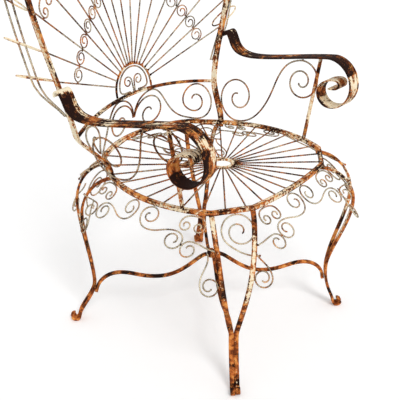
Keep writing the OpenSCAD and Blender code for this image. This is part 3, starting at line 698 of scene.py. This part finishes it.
def on_fan(i, r):
    """The point of fan wire i that is r from its centre."""
    s, e = fan_start(i), fan_end(i)
    a, b = lift(s), lift(e)
    return a + (b - a) * (r - np.linalg.norm(s - fan_c(i))) / np.linalg.norm(e - s)


def between(i, r):
    """The origin and axes of the plane between fan wires i and i + 1, r from their centre."""
    a, b = on_fan(i, r), on_fan(i + 1, r)
    ex = unit(b - a)
    v = on_fan(i, r + 30) + on_fan(i + 1, r + 30) - a - b
    return (a + b) / 2, ex, unit(v - ex * (v @ ex))


def free_half(i, r):
    """Half the free width between fan wires i and i + 1, r from their centre."""
    return (np.linalg.norm(on_fan(i + 1, r) - on_fan(i, r)) / 2 * math.cos(math.radians(FAN_PITCH / 2))
            - FAN_D / 2 - GAP - 0.1)


def beyond(i, o, b, share=1.0, behind=0.0):
    """A point on the line of fan wire i, o outside the hoop. Its place behind the hoop's middle is b
    behind the rings' middles for a share of 1, and behind the hoop's back edge for a share of 0."""
    at, e = hit(hoop_front(), fan_c(i), fan_dir(i))
    d = fan_dir(i)
    a = abs(math.atan(LEAN * e[1] - at[0] * e[0] / BARREL_R))
    k = abs(d[0] * e[1] - d[1] * e[0])
    out, along = (HOOP_T / 2 + 2 * abs(d @ e)) / k, (2 + HOOP_T / 2 * abs(d @ e)) / k
    back = (HOOP_W / 2 / math.cos(a) + along * math.tan(a)
            + 19 * math.sqrt(1 - ((40 - out) / 50) ** 2) + GAP)
    return lift(at) + pt(d[0] * o, (back + b) * share + (HOOP_W / 2 + behind) * (1 - share), d[1] * o)


def outer_wire(b, behind):
    """Level with the rings, then closing in on the hoop's back edge below the last ring."""
    last = FAN_LAST + 1 / 3
    points = []
    for i in np.linspace(-last - 4 / 3, last + 4 / 3, 6 * FAN_LAST + 11):
        f = max(0, (abs(i) - last) * 3 / 4)
        share = 1 - f * f * (3 - 2 * f)
        points.append(beyond(i, OUTER_GAP * share, b, share, behind))
    return np.array(points)


def low_edge(f):
    """The seat rim's line from the middle of the back rail, 0, to the foot of the hoop, 1."""
    f = np.asarray(f, float)
    a, b = on_rail(2, np.float64(-1)), pt(SIDE_BACK, SIDE_BACK_Y)
    k = np.clip((f - 0.665) / 0.335, 0, None)[..., None]
    return np.where((f < 0.665)[..., None], on_rail(2, np.clip(-f / 0.665, -1, 1)), a + (b - a) * k)


def lower_room(x):
    """The height between the seat rim and the cross rail that a wire's middle can use at x."""
    return rail_at(x) - RIM_TOP - RAIL_T / 2 - 2 * GAP - WIRE


def lower_scroll():
    """An S between the rim and the cross rail, drawn for a panel 100.65 high at its first lobe and 87.1
    at its second, and then fitted to the room there."""
    c = pt(WIRE / 2 + 52.65, 40.2)
    q = chain(spiral(c, 9, 52.4, -320, 180, 26), spiral(c, 52.4, 60.4, 180, 90, 6),
              curve([c[0], 100.6], [112, 100.6], [104, 0], [190, 0], 12),
              spiral([190, 46], 46, 45.5, -90, 0, 6), spiral([190, 46], 45.5, 9, 0, 510, 30))
    rooms = lower_room(54) / 100.65, lower_room(RAIL_HALF * 190 / 252) / 87.1
    fit = np.interp(q[:, 0], [54, 190], rooms)
    z = RIM_TOP + GAP + WIRE / 2 + q[:, 1] * fit
    f = q[:, 0] / 252
    a = low_edge(f)
    x = RAIL_HALF * f
    b = back_at(x, rail_at(x))[:, :2]
    k = ((z - SEAT_H) / (rail_at(x) - SEAT_H))[:, None]
    return np.c_[a + (b - a) * k, z]


ARM_TURN = math.atan2(ARM_SPLAY, 300)
SCROLL_Y = -(ARM_REACH - ARM_T / 2 - 62)
ARM_BACK = back_at(278, 640)[1] - HOOP_W / 2 - GAP - ARM_T / 2 - 1.2


def arm_path():
    """An arm seen from its side, y and z: the curl at the rear, the dip, the rise and the scroll."""
    t, e, y = ARM_HIGH - ARM_T / 2, ARM_END_Z - ARM_T / 2, SCROLL_Y
    return chain(
        arc([ARM_BACK - 9, e - 9], 9, -30, 90, 5),
        curve([ARM_BACK - 9, e], [ARM_BACK - 17, e],
              [ARM_BACK - 23, e - 16], [ARM_BACK - 29, e - 30], 4),
        curve([ARM_BACK - 29, e - 30], [ARM_BACK - 40, e - 48], [110, ARM_LOW], [82, ARM_LOW], 6),
        curve([82, ARM_LOW], [30, ARM_LOW], [-90, t - 9], [y, t], 10),
        arc([y, t - 62], 62, 90, 180, 7), arc([y - 4, t - 62], 58, 180, 270, 7),
        arc([y - 4, t - 87], 33, 270, 360, 6),
        curve([y + 29, t - 87], [y + 29, t - 65], [y + 2, t - 50], [y - 20, t - 50], 5),
        curve([y - 20, t - 50], [y - 34, t - 50], [y - 36, t - 70], [y - 18, t - 72], 6),
        line([y - 18, t - 72], [y - 2, t - 74], 2))


def arm_under(y):
    """The height of an arm's underside at y, between its lowest point and its front scroll."""
    q = arm_path()[15 * FINE:25 * FINE + 1]
    return np.interp(-y, -q[:, 0], q[:, 1]) - ARM_T / 2


def arm_line():
    """The left arm's path in space, a little wider at the rear."""
    q = arm_path()
    x = ARM_HALF + ARM_SPLAY / 2 + q[:, 0] * math.sin(ARM_TURN)
    return np.stack([x, q[:, 0] * math.cos(ARM_TURN), q[:, 1]], 1)


def side_rim(y):
    """How far from the middle plane the left rail lies at y."""
    return on_rail(1, (y - (SIDE_BACK_Y - SIDE_FRONT_Y) / 2) / ((SIDE_BACK_Y + SIDE_FRONT_Y) / 2))[0]


def side_scroll():
    """The left S between the rim and the arm, and the normal of its plane."""
    low, x, top = GAP + WIRE / 2 + 0.6, side_rim(85.0), arm_under(-85)
    h = math.hypot(ARM_HALF - 14 - x, top - RIM_TOP)
    high = h - GAP - WIRE / 2 - 0.6
    a = 90 + math.degrees(math.atan((arm_under(-75) - arm_under(-95)) / 20))
    q = chain(spiral([85, low + 61], 9, 61, 270 + 530, 270, 30),
              curve([85, low], [25, low], [-4, 55], [-20, h - 78], 7),
              curve([-20, h - 78], [-34, h - 28], pt(-85, high) + 36 * turn(a - 90), [-85, high], 7),
              spiral(pt(-85, high) - 51 * turn(a), 51, 8, a, a + 610, 32))
    ey = pt(ARM_HALF - 14 - x, 0, top - RIM_TOP) / h
    return in_plane(q, [x, 0, RIM_TOP], [0, 1, 0], ey), np.cross(pt(0, 1, 0), ey)


# ---- pieces ----
def twisted(heap, p, normal, side, paint, seed, step=1.5):
    """A square wire twisted along its path from a random starting angle, with its paint varying along
    it.
    """
    p = smoothed(even(p, step), 3)
    n = len(p)
    rng = np.random.default_rng(seed)
    carry(heap, p, normal, square(side), twist=360 / PITCH, start=rng.uniform(0, 90),
          paint=paint + 0.25 * noise_along(n, seed + 1, 40))


def welds(heap, places, r, seed):
    """Weld beads: small uneven balls of bare iron."""
    rng = np.random.default_rng(seed)
    a = np.linspace(0, math.pi, 6)
    for at in places:
        size = r * rng.uniform(0.8, 1.15, 3)
        v, f = turned(np.sin(a), np.cos(a), 8)
        v = v * size * rng.uniform(0.9, 1.1, (len(v), 1))
        heap.add(v + np.asarray(at), f, np.full(len(v), 0.5), np.full(len(v), -0.4), v)


def low_and_high(p):
    """A scroll's welds: just below its lowest and just above its highest point."""
    return p[p[:, 2].argmin()] - pt(0, 0, WELD_OFF), p[p[:, 2].argmax()] + pt(0, 0, WELD_OFF)


def other(wires):
    """The mirror images on the right of wires on the left."""
    return [(mirrored(p), mirrored(np.array(n)), [mirrored(q) for q in at]) for p, n, at in wires]


def both(wires):
    """Wires on the left and their mirror images."""
    return wires + other(wires)


def seed_of(name):
    """The number from which a name's random draws start."""
    return sum((i + 1) * ord(c) for i, c in enumerate(name))


def scrolls():
    # the last number of each half is set by trial: the room that its hook needs beside the curved leg
    front, rear = apron_half(0, 1, 0, 1, 2.7), apron_half(2, -1, 1, -1, 0.2)
    left = apron_half(1, -1, 0, -1, 1.3) + apron_half(1, 1, 1, 1, 3.9)
    for name, wires in (
            ("apron_front", both(front)), ("apron_back", both(rear)),
            ("apron_left", left), ("apron_right", other(left)),
            ("corner_front_left", corner_wires(0)), ("corner_back_left", corner_wires(1)),
            ("corner_front_right", other(corner_wires(0))),
            ("corner_back_right", other(corner_wires(1)))):
        heap = Heap()
        for i, (p, n, at) in enumerate(wires):
            twisted(heap, p, n, APRON_WIRE, 0.58, seed=seed_of(name) + 7 * i)
            welds(heap, at, 2.3, seed_of(name) + i)
        make(name + "_wires", heap, wires_mat, [name])


def back_pieces():
    heap = Heap()
    for i in range(-FAN_LAST, FAN_LAST + 1):
        a, b = lift(fan_start(i)), lift(fan_end(i))
        twisted(heap, line(a, b, 2), [1, 0, 0.3], FAN_WIRE, 0.35, seed=300 + i, step=1.7)
        welds(heap, (a, b), 2.7, 1300 + i)
    make("fan_wires", heap, wires_mat, ["fan"])

    heap = Heap()
    for i in range(-FAN_LAST, FAN_LAST):
        r = free_half(i, GARLAND_R) - 1.5
        o, ex, ey = between(i, GARLAND_R)
        q = chain(arc([0, 0], r, -10, 190, 11), spiral([0, 0], r, r * 0.3, 190, 590, 18))
        twisted(heap, in_plane(q, o, ex, ey), np.cross(ex, ey), GARLAND_WIRE, 0.35, seed=340 + i,
                step=1.2)
        welds(heap, (o - ex * (r + WELD_OFF), o + ex * (r + WELD_OFF)), 2.0, 1340 + i)
    make("garland_curls", heap, wires_mat, ["garland"])

    heap = Heap()
    for i in range(-6, 6):
        r = min(GARLAND_R + ROW_BEYOND, hoop_r(i) - ROW_INSIDE, hoop_r(i + 1) - ROW_INSIDE)
        w = free_half(i, r) - THIN / 2
        o, ex, ey = between(i, r)
        q = curl_pair(w, TOP_OFF) + pt(0, 27 * w / 26)
        twisted(heap, in_plane(q, o, ex, ey), np.cross(ex, ey), ROW_WIRE, 0.45, seed=360 + i)
        welds(heap, (o - ex * (w + WELD_OFF), o + ex * (w + WELD_OFF)), 2.2, 1360 + i)
    make("row_of_curls", heap, wires_mat, ["curl_row"])

    for name, k, behind in (("outer_wire_front", -11, GAP + WIRE / 2 + 1),
                            ("outer_wire_back", 11, 2 * GAP + WIRE * 1.5 + 1.3)):
        heap = Heap()
        twisted(heap, smoothed(outer_wire(k, behind), 1), [0, 1, 0], SCROLL_WIRE, 0.6, seed=380 + k)
        make(name + "_twist", heap, wires_mat, [name])

    heap = Heap()
    a = np.linspace(0, 2 * math.pi, 73)[:-1]
    for i in range(-FAN_LAST, FAN_LAST + 1):
        d = fan_dir(i)
        q = np.stack([RING_LONG * np.cos(a), RING_WIDE * np.sin(a)], 1)
        ex = pt(d[0], 0, d[1])
        p = in_plane(q, beyond(i, 40, 0), ex, [0, 1, 0])
        carry(heap, p, np.cross(ex, pt(0, 1, 0)), plain(RING_WIRE, 1.0), closed=True,
              paint=0.55 + 0.3 * noise_along(72, 400 + i, 12))
    make("long_rings", heap, wires_mat, ["rings"])

    for k, name in enumerate(("lower_scroll_left", "lower_scroll_right")):
        heap = Heap()
        p = mirrored(lower_scroll()) if k else lower_scroll()
        twisted(heap, p, [0, 1, 0], SCROLL_WIRE, 0.3, seed=420 + k)
        welds(heap, low_and_high(p), 2.6, 1420 + k)
        make(name + "_wire", heap, wires_mat, [name])

    heap = Heap()
    up = unit(pt(0, LEAN, 1))
    o, ex = pt(0, BACK_MID_Y, RAIL_Z), pt(1, 0, 0)
    foot = rail_at(ARCH_R) - RAIL_Z + RAIL_T / 2 + GAP + 0.2
    q = chain(line([ARCH_R, foot], [ARCH_R, ARCH_C], 1), arc([0, ARCH_C], ARCH_R, 0, 180, 14),
              line([-ARCH_R, ARCH_C], [-ARCH_R, foot], 1))
    p = even(in_plane(q, o, ex, up), 3)
    carry(heap, p, np.cross(ex, up), plain(ARCH_BAR, 1),
          paint=0.25 + 0.3 * noise_along(len(p), 431, 8))
    make("arch_bar", heap, wires_mat, ["arch"])

    heap = Heap()
    r = ARCH_R - 12.5
    at = rail_at(14) - RAIL_Z + RAIL_T / 2 + GAP + THIN / 2 + 0.3
    half = chain(curve([14, at], [34, 5], [r, 4], [r, ARCH_C + 6], 5),
                 arc([0, ARCH_C + 6], r, 0, 90, 8))
    twisted(heap, in_plane(chain(half, flip(half)), o, ex, up), np.cross(ex, up), INNER_ARCH_WIRE, 0.35,
            seed=440)
    low = rail_at(3) - RAIL_Z + RAIL_T / 2 + GAP + 0.1
    q = chain(curve([2.4, low], [2.4, 16], [3.5, 22], [4, 30], 4), arc([17, 30], 13, 180, 60, 6),
              spiral([17, 30], 13, 4, 60, -280, 16))
    for s in (-1, 1):
        twisted(heap, in_plane(q * pt(s, 1), o, ex, up), np.cross(ex, up), ARCH_CURL_WIRE, 0.35,
                seed=442 + s)
    make("arch_scrolls", heap, wires_mat, ["arch_curls"])

    heap = Heap()
    p = smoothed(even(hoop_path(), 6), 2)
    paint = 0.60 + 0.22 * noise_along(len(p), 450, 10)
    carry(heap, p, [0, 1, 0], strap(HOOP_W, HOOP_T, 0.9), paint=paint)
    make("hoop_strap", heap, cream_mat, ["hoop"])

    heap = Heap()
    a = RAIL_HALF - HOOP_T / 2 - GAP - 2.2
    x = np.linspace(-a, a, 90)
    p = back_at(x, rail_at(x))
    carry(heap, p, [0, 0, 1], strap(RAIL_T, RAIL_T, 0.9, 2),
          paint=0.45 + 0.4 * noise_along(len(p), 460, 10))
    make("back_bar", heap, rim_mat, ["back_rail"])


def seat_pieces():
    heap = Heap()
    q = rim_path(24)
    p = np.c_[q, np.full(len(q), SEAT_H)]
    carry(heap, p, [0, 0, 1], strap(RIM, RIM, 1.1, 3), closed=True,
          paint=0.50 + 0.22 * noise_along(len(p), 500, 6))
    make("rim_bar", heap, rim_mat, ["seat_rim"])

    heap = Heap()
    a = np.linspace(0, 360, 97)[:-1]
    q = turn(a) * (HUB_R - HUB_BAND / 2) + pt(0, -HUB_Y)
    carry(heap, np.c_[q, np.full(len(q), SEAT_H)], [0, 0, 1], strap(6, HUB_BAND, 1.2, 3),
          closed=True, paint=0.7)
    make("hub_ring", heap, cream_mat, ["seat_hub"])

    heap = Heap()
    path, hub = rim_path(10), pt(0, -HUB_Y)
    for i in range(SPOKES):
        d = turn((i + 0.5) * 360 / SPOKES)
        at, e = hit(path, hub, d)
        k = abs(d @ left_of(e))
        end = at - d * (RIM / 2 + GAP + WIRE / 2 * math.sqrt(1 - k * k)) / k
        start = hub + d * (HUB_R + GAP)
        a, b = np.r_[start, SEAT_H], np.r_[end, SEAT_H]
        twisted(heap, line(a, b, 2), [0, 0, 1], FAN_WIRE, 0.15, seed=520 + i, step=1.8)
        welds(heap, (a, b), 2.4, 1520 + i)
    make("seat_spokes", heap, wires_mat, ["seat_wires"])


def leg_pieces():
    for back, word in ((0, "front"), (1, "back")):
        for m, side in ((1, "left"), (-1, "right")):
            heap = Heap()
            for s in (-1, 1):
                p = smoothed(even(leg_bar(back, s), 5) * pt(m, 1, 1), 2)
                out = leg_out(back)
                fade = np.clip((p[:, 2] - 90) / 220, 0, 1)     # less paint towards the feet
                paint = 0.22 + 0.30 * fade + 0.20 * noise_along(len(p), 600 + 10 * back + s + m, 8)
                carry(heap, p, [m * out[1], -out[0], 0], strap(LEG_W, LEG_T, 1.2), paint=paint)
            make(f"leg_{word}_{side}_bars", heap, cream_mat, [f"leg_{word}_{side}"])

    heap = Heap()
    for back in (0, 1):
        foot = leg_mid(back) + leg_out(back) * reach(back, ANKLE_Z)
        v = foot - pt(0, -CROSS_Y)
        l = np.linalg.norm(v) - LEG_T / 2 - GAP - BRACE / 2 - 0.9
        far = [l + 0.7 * (reach(back, z) - reach(back, ANKLE_Z)) for z in (BRACE_Z, BRACE_Z - 9)]
        q = chain(line([14.3, CROSS_Z], [18, CROSS_Z], 1),
                  curve([18, CROSS_Z], [40, CROSS_Z - 6], [75, TROUGH_Z], [l * 0.46, TROUGH_Z], 8),
                  curve([l * 0.46, TROUGH_Z], [l * 0.63, TROUGH_Z],
                        [l * 0.7, CREST_Z], [l * 0.82, CREST_Z], 7),
                  curve([l * 0.82, CREST_Z], [l * 0.93, CREST_Z],
                        [l, BRACE_Z + 20], [far[0], BRACE_Z], 7),
                  line([far[0], BRACE_Z], [far[1], BRACE_Z - 9], 1))
        ex = np.r_[unit(v), 0]
        for m in (1, -1):
            p = smoothed(even(in_plane(q, [0, -CROSS_Y, 0], ex, [0, 0, 1]) * pt(m, 1, 1), 4), 2)
            carry(heap, p, np.cross(ex * pt(m, 1, 1), pt(0, 0, 1)), strap(BRACE, BRACE, 1.1, 2),
                  paint=0.12 + 0.2 * noise_along(len(p), 640 + back * 2 + m, 8))
    make("stretcher_bars", heap, rim_mat, ["stretchers"])

    heap = Heap()
    r = np.array([0, 9, 12.2, 13.6, 14, 14, 13.6, 12.2, 9, 0])
    z = np.array([6, 6, 5.6, 4.6, 3.2, -3.2, -4.6, -5.6, -6, -6])
    v, f = turned(r, z, 48)
    heap.add(v + pt(0, -CROSS_Y, CROSS_Z), f, np.zeros(len(v)), np.full(len(v), 0.3), v)
    make("crossing_disc", heap, rim_mat, ["stretcher_disc"])


def arm_wear_and_shade(p, m, shape):
    """The paint left on an arm's strap, the wear on it and painted shade, for each point of its path and
    profile. Top, front, bottom, rear and curl are the parts of the strap in the order in which it runs.
    What is put where follows the photo: m is -1 for the near arm, the sitter's right, and 1 for the far
    one. The near arm's underside is stripped to bare, mostly near-black iron as painted shade, not as
    wear."""
    n = len(p)
    s = np.linspace(0, 1, n)[:, None]     # 0 at the rear curl's tip, 1 at the scroll's inner end
    y, z = (p[:, 1] - SCROLL_Y)[:, None], (p[:, 2] - ARM_HIGH)[:, None]
    out, face = shape[:, 0] / (ARM_W / 2), m * shape[:, 1] > 0
    late = s > 0.6
    front = late & (y < 6) & (z > -104) & (np.hypot(y, z + 62) > 45)
    bottom = late & (z <= -104)
    rear = late & (y > 6) & (z < -60)
    curl = late & ~front & ~bottom & ~rear & (s > 0.84)
    top = ~(front | bottom | rear | curl)
    under, inner = bottom & ~face, rear | (bottom & face)
    noise = (0.22 * noise_along(n, 700 + m, 10))[:, None]
    paint = np.zeros((n, len(shape))) + 0.42 + noise
    wear_and_shade = np.zeros_like(paint)
    if m < 0:
        wear_and_shade += top * np.clip((0.16 - s) / 0.05, 0, 1) * np.clip(out + 0.6, 0, 1) * 3.2
        paint += np.clip((0.05 - s) / 0.02, 0, 1) * 1.0 - top * 0.16
        wear_and_shade += front * np.clip(out * 2.5, 0, 1) * 1.2
        wear_and_shade -= front * np.clip(-out * 2, 0, 1) * 2.6
        paint -= front * 0.42
        # painted shade: the near arm's underside loses its paint and goes to bare, mostly near-black
        # iron
        wear_and_shade += under * 5.0
        paint -= under * 0.5
        wear_and_shade -= inner * 3.4
        paint -= inner * 0.62
        paint += curl * 0.12
    else:
        wear_and_shade += top * 1.1
        paint -= top * 0.24
        wear_and_shade -= front * 2.2
        paint -= front * 0.22
        paint += under * 0.3
        wear_and_shade -= curl * 2.5
        paint -= curl * 0.25
    return paint, wear_and_shade


def arm_pieces():
    for m, side in ((1, "left"), (-1, "right")):
        heap = Heap()
        p = smoothed(even(arm_line(), 3), 2) * pt(m, 1, 1)
        wide = [m * math.cos(ARM_TURN), -math.sin(ARM_TURN), 0]
        profile = strap(ARM_W, ARM_T, 0.9, 10)
        paint, wear_and_shade = arm_wear_and_shade(p, m, profile[0])
        carry(heap, p, wide, profile, paint=paint, wear_and_shade=wear_and_shade)
        make(f"arm_{side}_strap", heap, arm_mat, [f"arm_{side}"])

        heap = Heap()
        a = pt(side_rim(-POST_FOOT_Y), -POST_FOOT_Y, RIM_TOP + GAP)
        b = pt(ARM_HALF + 3, -POST_HEAD_Y, arm_under(-POST_HEAD_Y) - GAP - 0.8)
        p = line(a, b, 12) * pt(m, 1, 1)
        t = np.linspace(0, 2 * math.pi, 17)[:-1]
        ring = np.stack([POST_D / 2 * np.cos(t), POST_D / 2 * np.sin(t)], 1)
        carry(heap, p, [1, 0, 0], (ring, np.zeros(len(ring))),
              paint=0.45 + 0.3 * noise_along(len(p), 720 + m, 5))
        make(f"arm_post_{side}_rod", heap, rim_mat, [f"arm_post_{side}"])

        heap = Heap()
        q, normal = (v * pt(m, 1, 1) for v in side_scroll())
        twisted(heap, q, normal, SCROLL_WIRE, 0.3, seed=740 + m)
        welds(heap, low_and_high(q), 2.6, 1740 + m)
        make(f"side_scroll_{side}_wire", heap, wires_mat, [f"side_scroll_{side}"])


seat_pieces()
leg_pieces()
scrolls()
back_pieces()
arm_pieces()


# ---- floor, light and camera ----
def seen_directly(tree):
    """1 for rays that the camera, a mirror or glass sends, 0 for those that light the object."""
    path = tree.nodes.new("ShaderNodeLightPath")
    total = path.outputs["Is Camera Ray"]
    for word in ("Is Glossy Ray", "Is Transmission Ray"):
        either = tree.nodes.new("ShaderNodeMath")
        either.operation = "MAXIMUM"
        tree.links.new(total, either.inputs[0])
        tree.links.new(path.outputs[word], either.inputs[1])
        total = either.outputs[0]
    return total


floor_mat = Mat("pale_floor")
pale = floor_mat.node("ShaderNodeBsdfPrincipled", {}, {
    "Base Color": rgb(0.98, 0.98, 0.98), "Roughness": 0.9, "Emission Strength": 0.12,
    "Emission Color": Sock(floor_mat, seen_directly(floor_mat.t))})
floor_mat.node("ShaderNodeOutputMaterial", {}, {"Surface": pale})
bpy.ops.mesh.primitive_plane_add(size=40, location=(0, 0, 0))
floor = bpy.context.object
floor.name = "floor"
floor.data.materials.append(floor_mat.m)

# the sky is white where it is seen and dimmer, To Min, where it lights the chair
world = bpy.data.worlds.new("studio")
bpy.context.scene.world = world
world.use_nodes = True
sky = world.node_tree
strength = sky.nodes.new("ShaderNodeMapRange")
strength.inputs["To Min"].default_value = 0.66
sky.links.new(seen_directly(sky), strength.inputs["Value"])
sky.nodes["Background"].inputs[0].default_value = rgb(1, 1, 1)
sky.links.new(strength.outputs[0], sky.nodes["Background"].inputs[1])


def aimed(o, at, aim):
    """Puts o at a place with its -Z axis towards aim."""
    z = unit(np.array(at, float) - np.array(aim, float))
    x = unit(np.cross(pt(0, 0, 1), z))
    o.matrix_world = Matrix([[*row, at[k]] for k, row in enumerate(np.stack([x, np.cross(z, x), z], 1))]
                            + [[0, 0, 0, 1]])


key = bpy.data.lights.new("key", "SUN")
key.energy, key.angle = 1.3, math.radians(18)
key_lamp = bpy.data.objects.new("key", key)
bpy.context.scene.collection.objects.link(key_lamp)
aimed(key_lamp, (-1.2, -2.4, 3.4), (0, 0, 0.5))

# the camera as it was solved from the photo
azimuth, elevation, roll = (math.radians(a) for a in (-50.17, 27.45, -1.11))
back = pt(math.sin(azimuth) * math.cos(elevation), -math.cos(azimuth) * math.cos(elevation),
          math.sin(elevation))
right = pt(math.cos(azimuth), math.sin(azimuth), 0)
up = np.cross(back, right)
right, up = right * math.cos(roll) + up * math.sin(roll), up * math.cos(roll) - right * math.sin(roll)
camera_data = bpy.data.cameras.new("camera")
camera_data.sensor_width, camera_data.lens = 36, 69.13
camera_data.clip_start, camera_data.clip_end = 0.05, 100
camera = bpy.data.objects.new("camera", camera_data)
bpy.context.scene.collection.objects.link(camera)
place = (-1.2860, -1.0637, 1.1812)
camera.matrix_world = Matrix([[right[k], up[k], back[k], place[k]] for k in range(3)] + [[0, 0, 0, 1]])
bpy.context.scene.camera = camera
bpy.context.scene.view_settings.view_transform = "Standard"
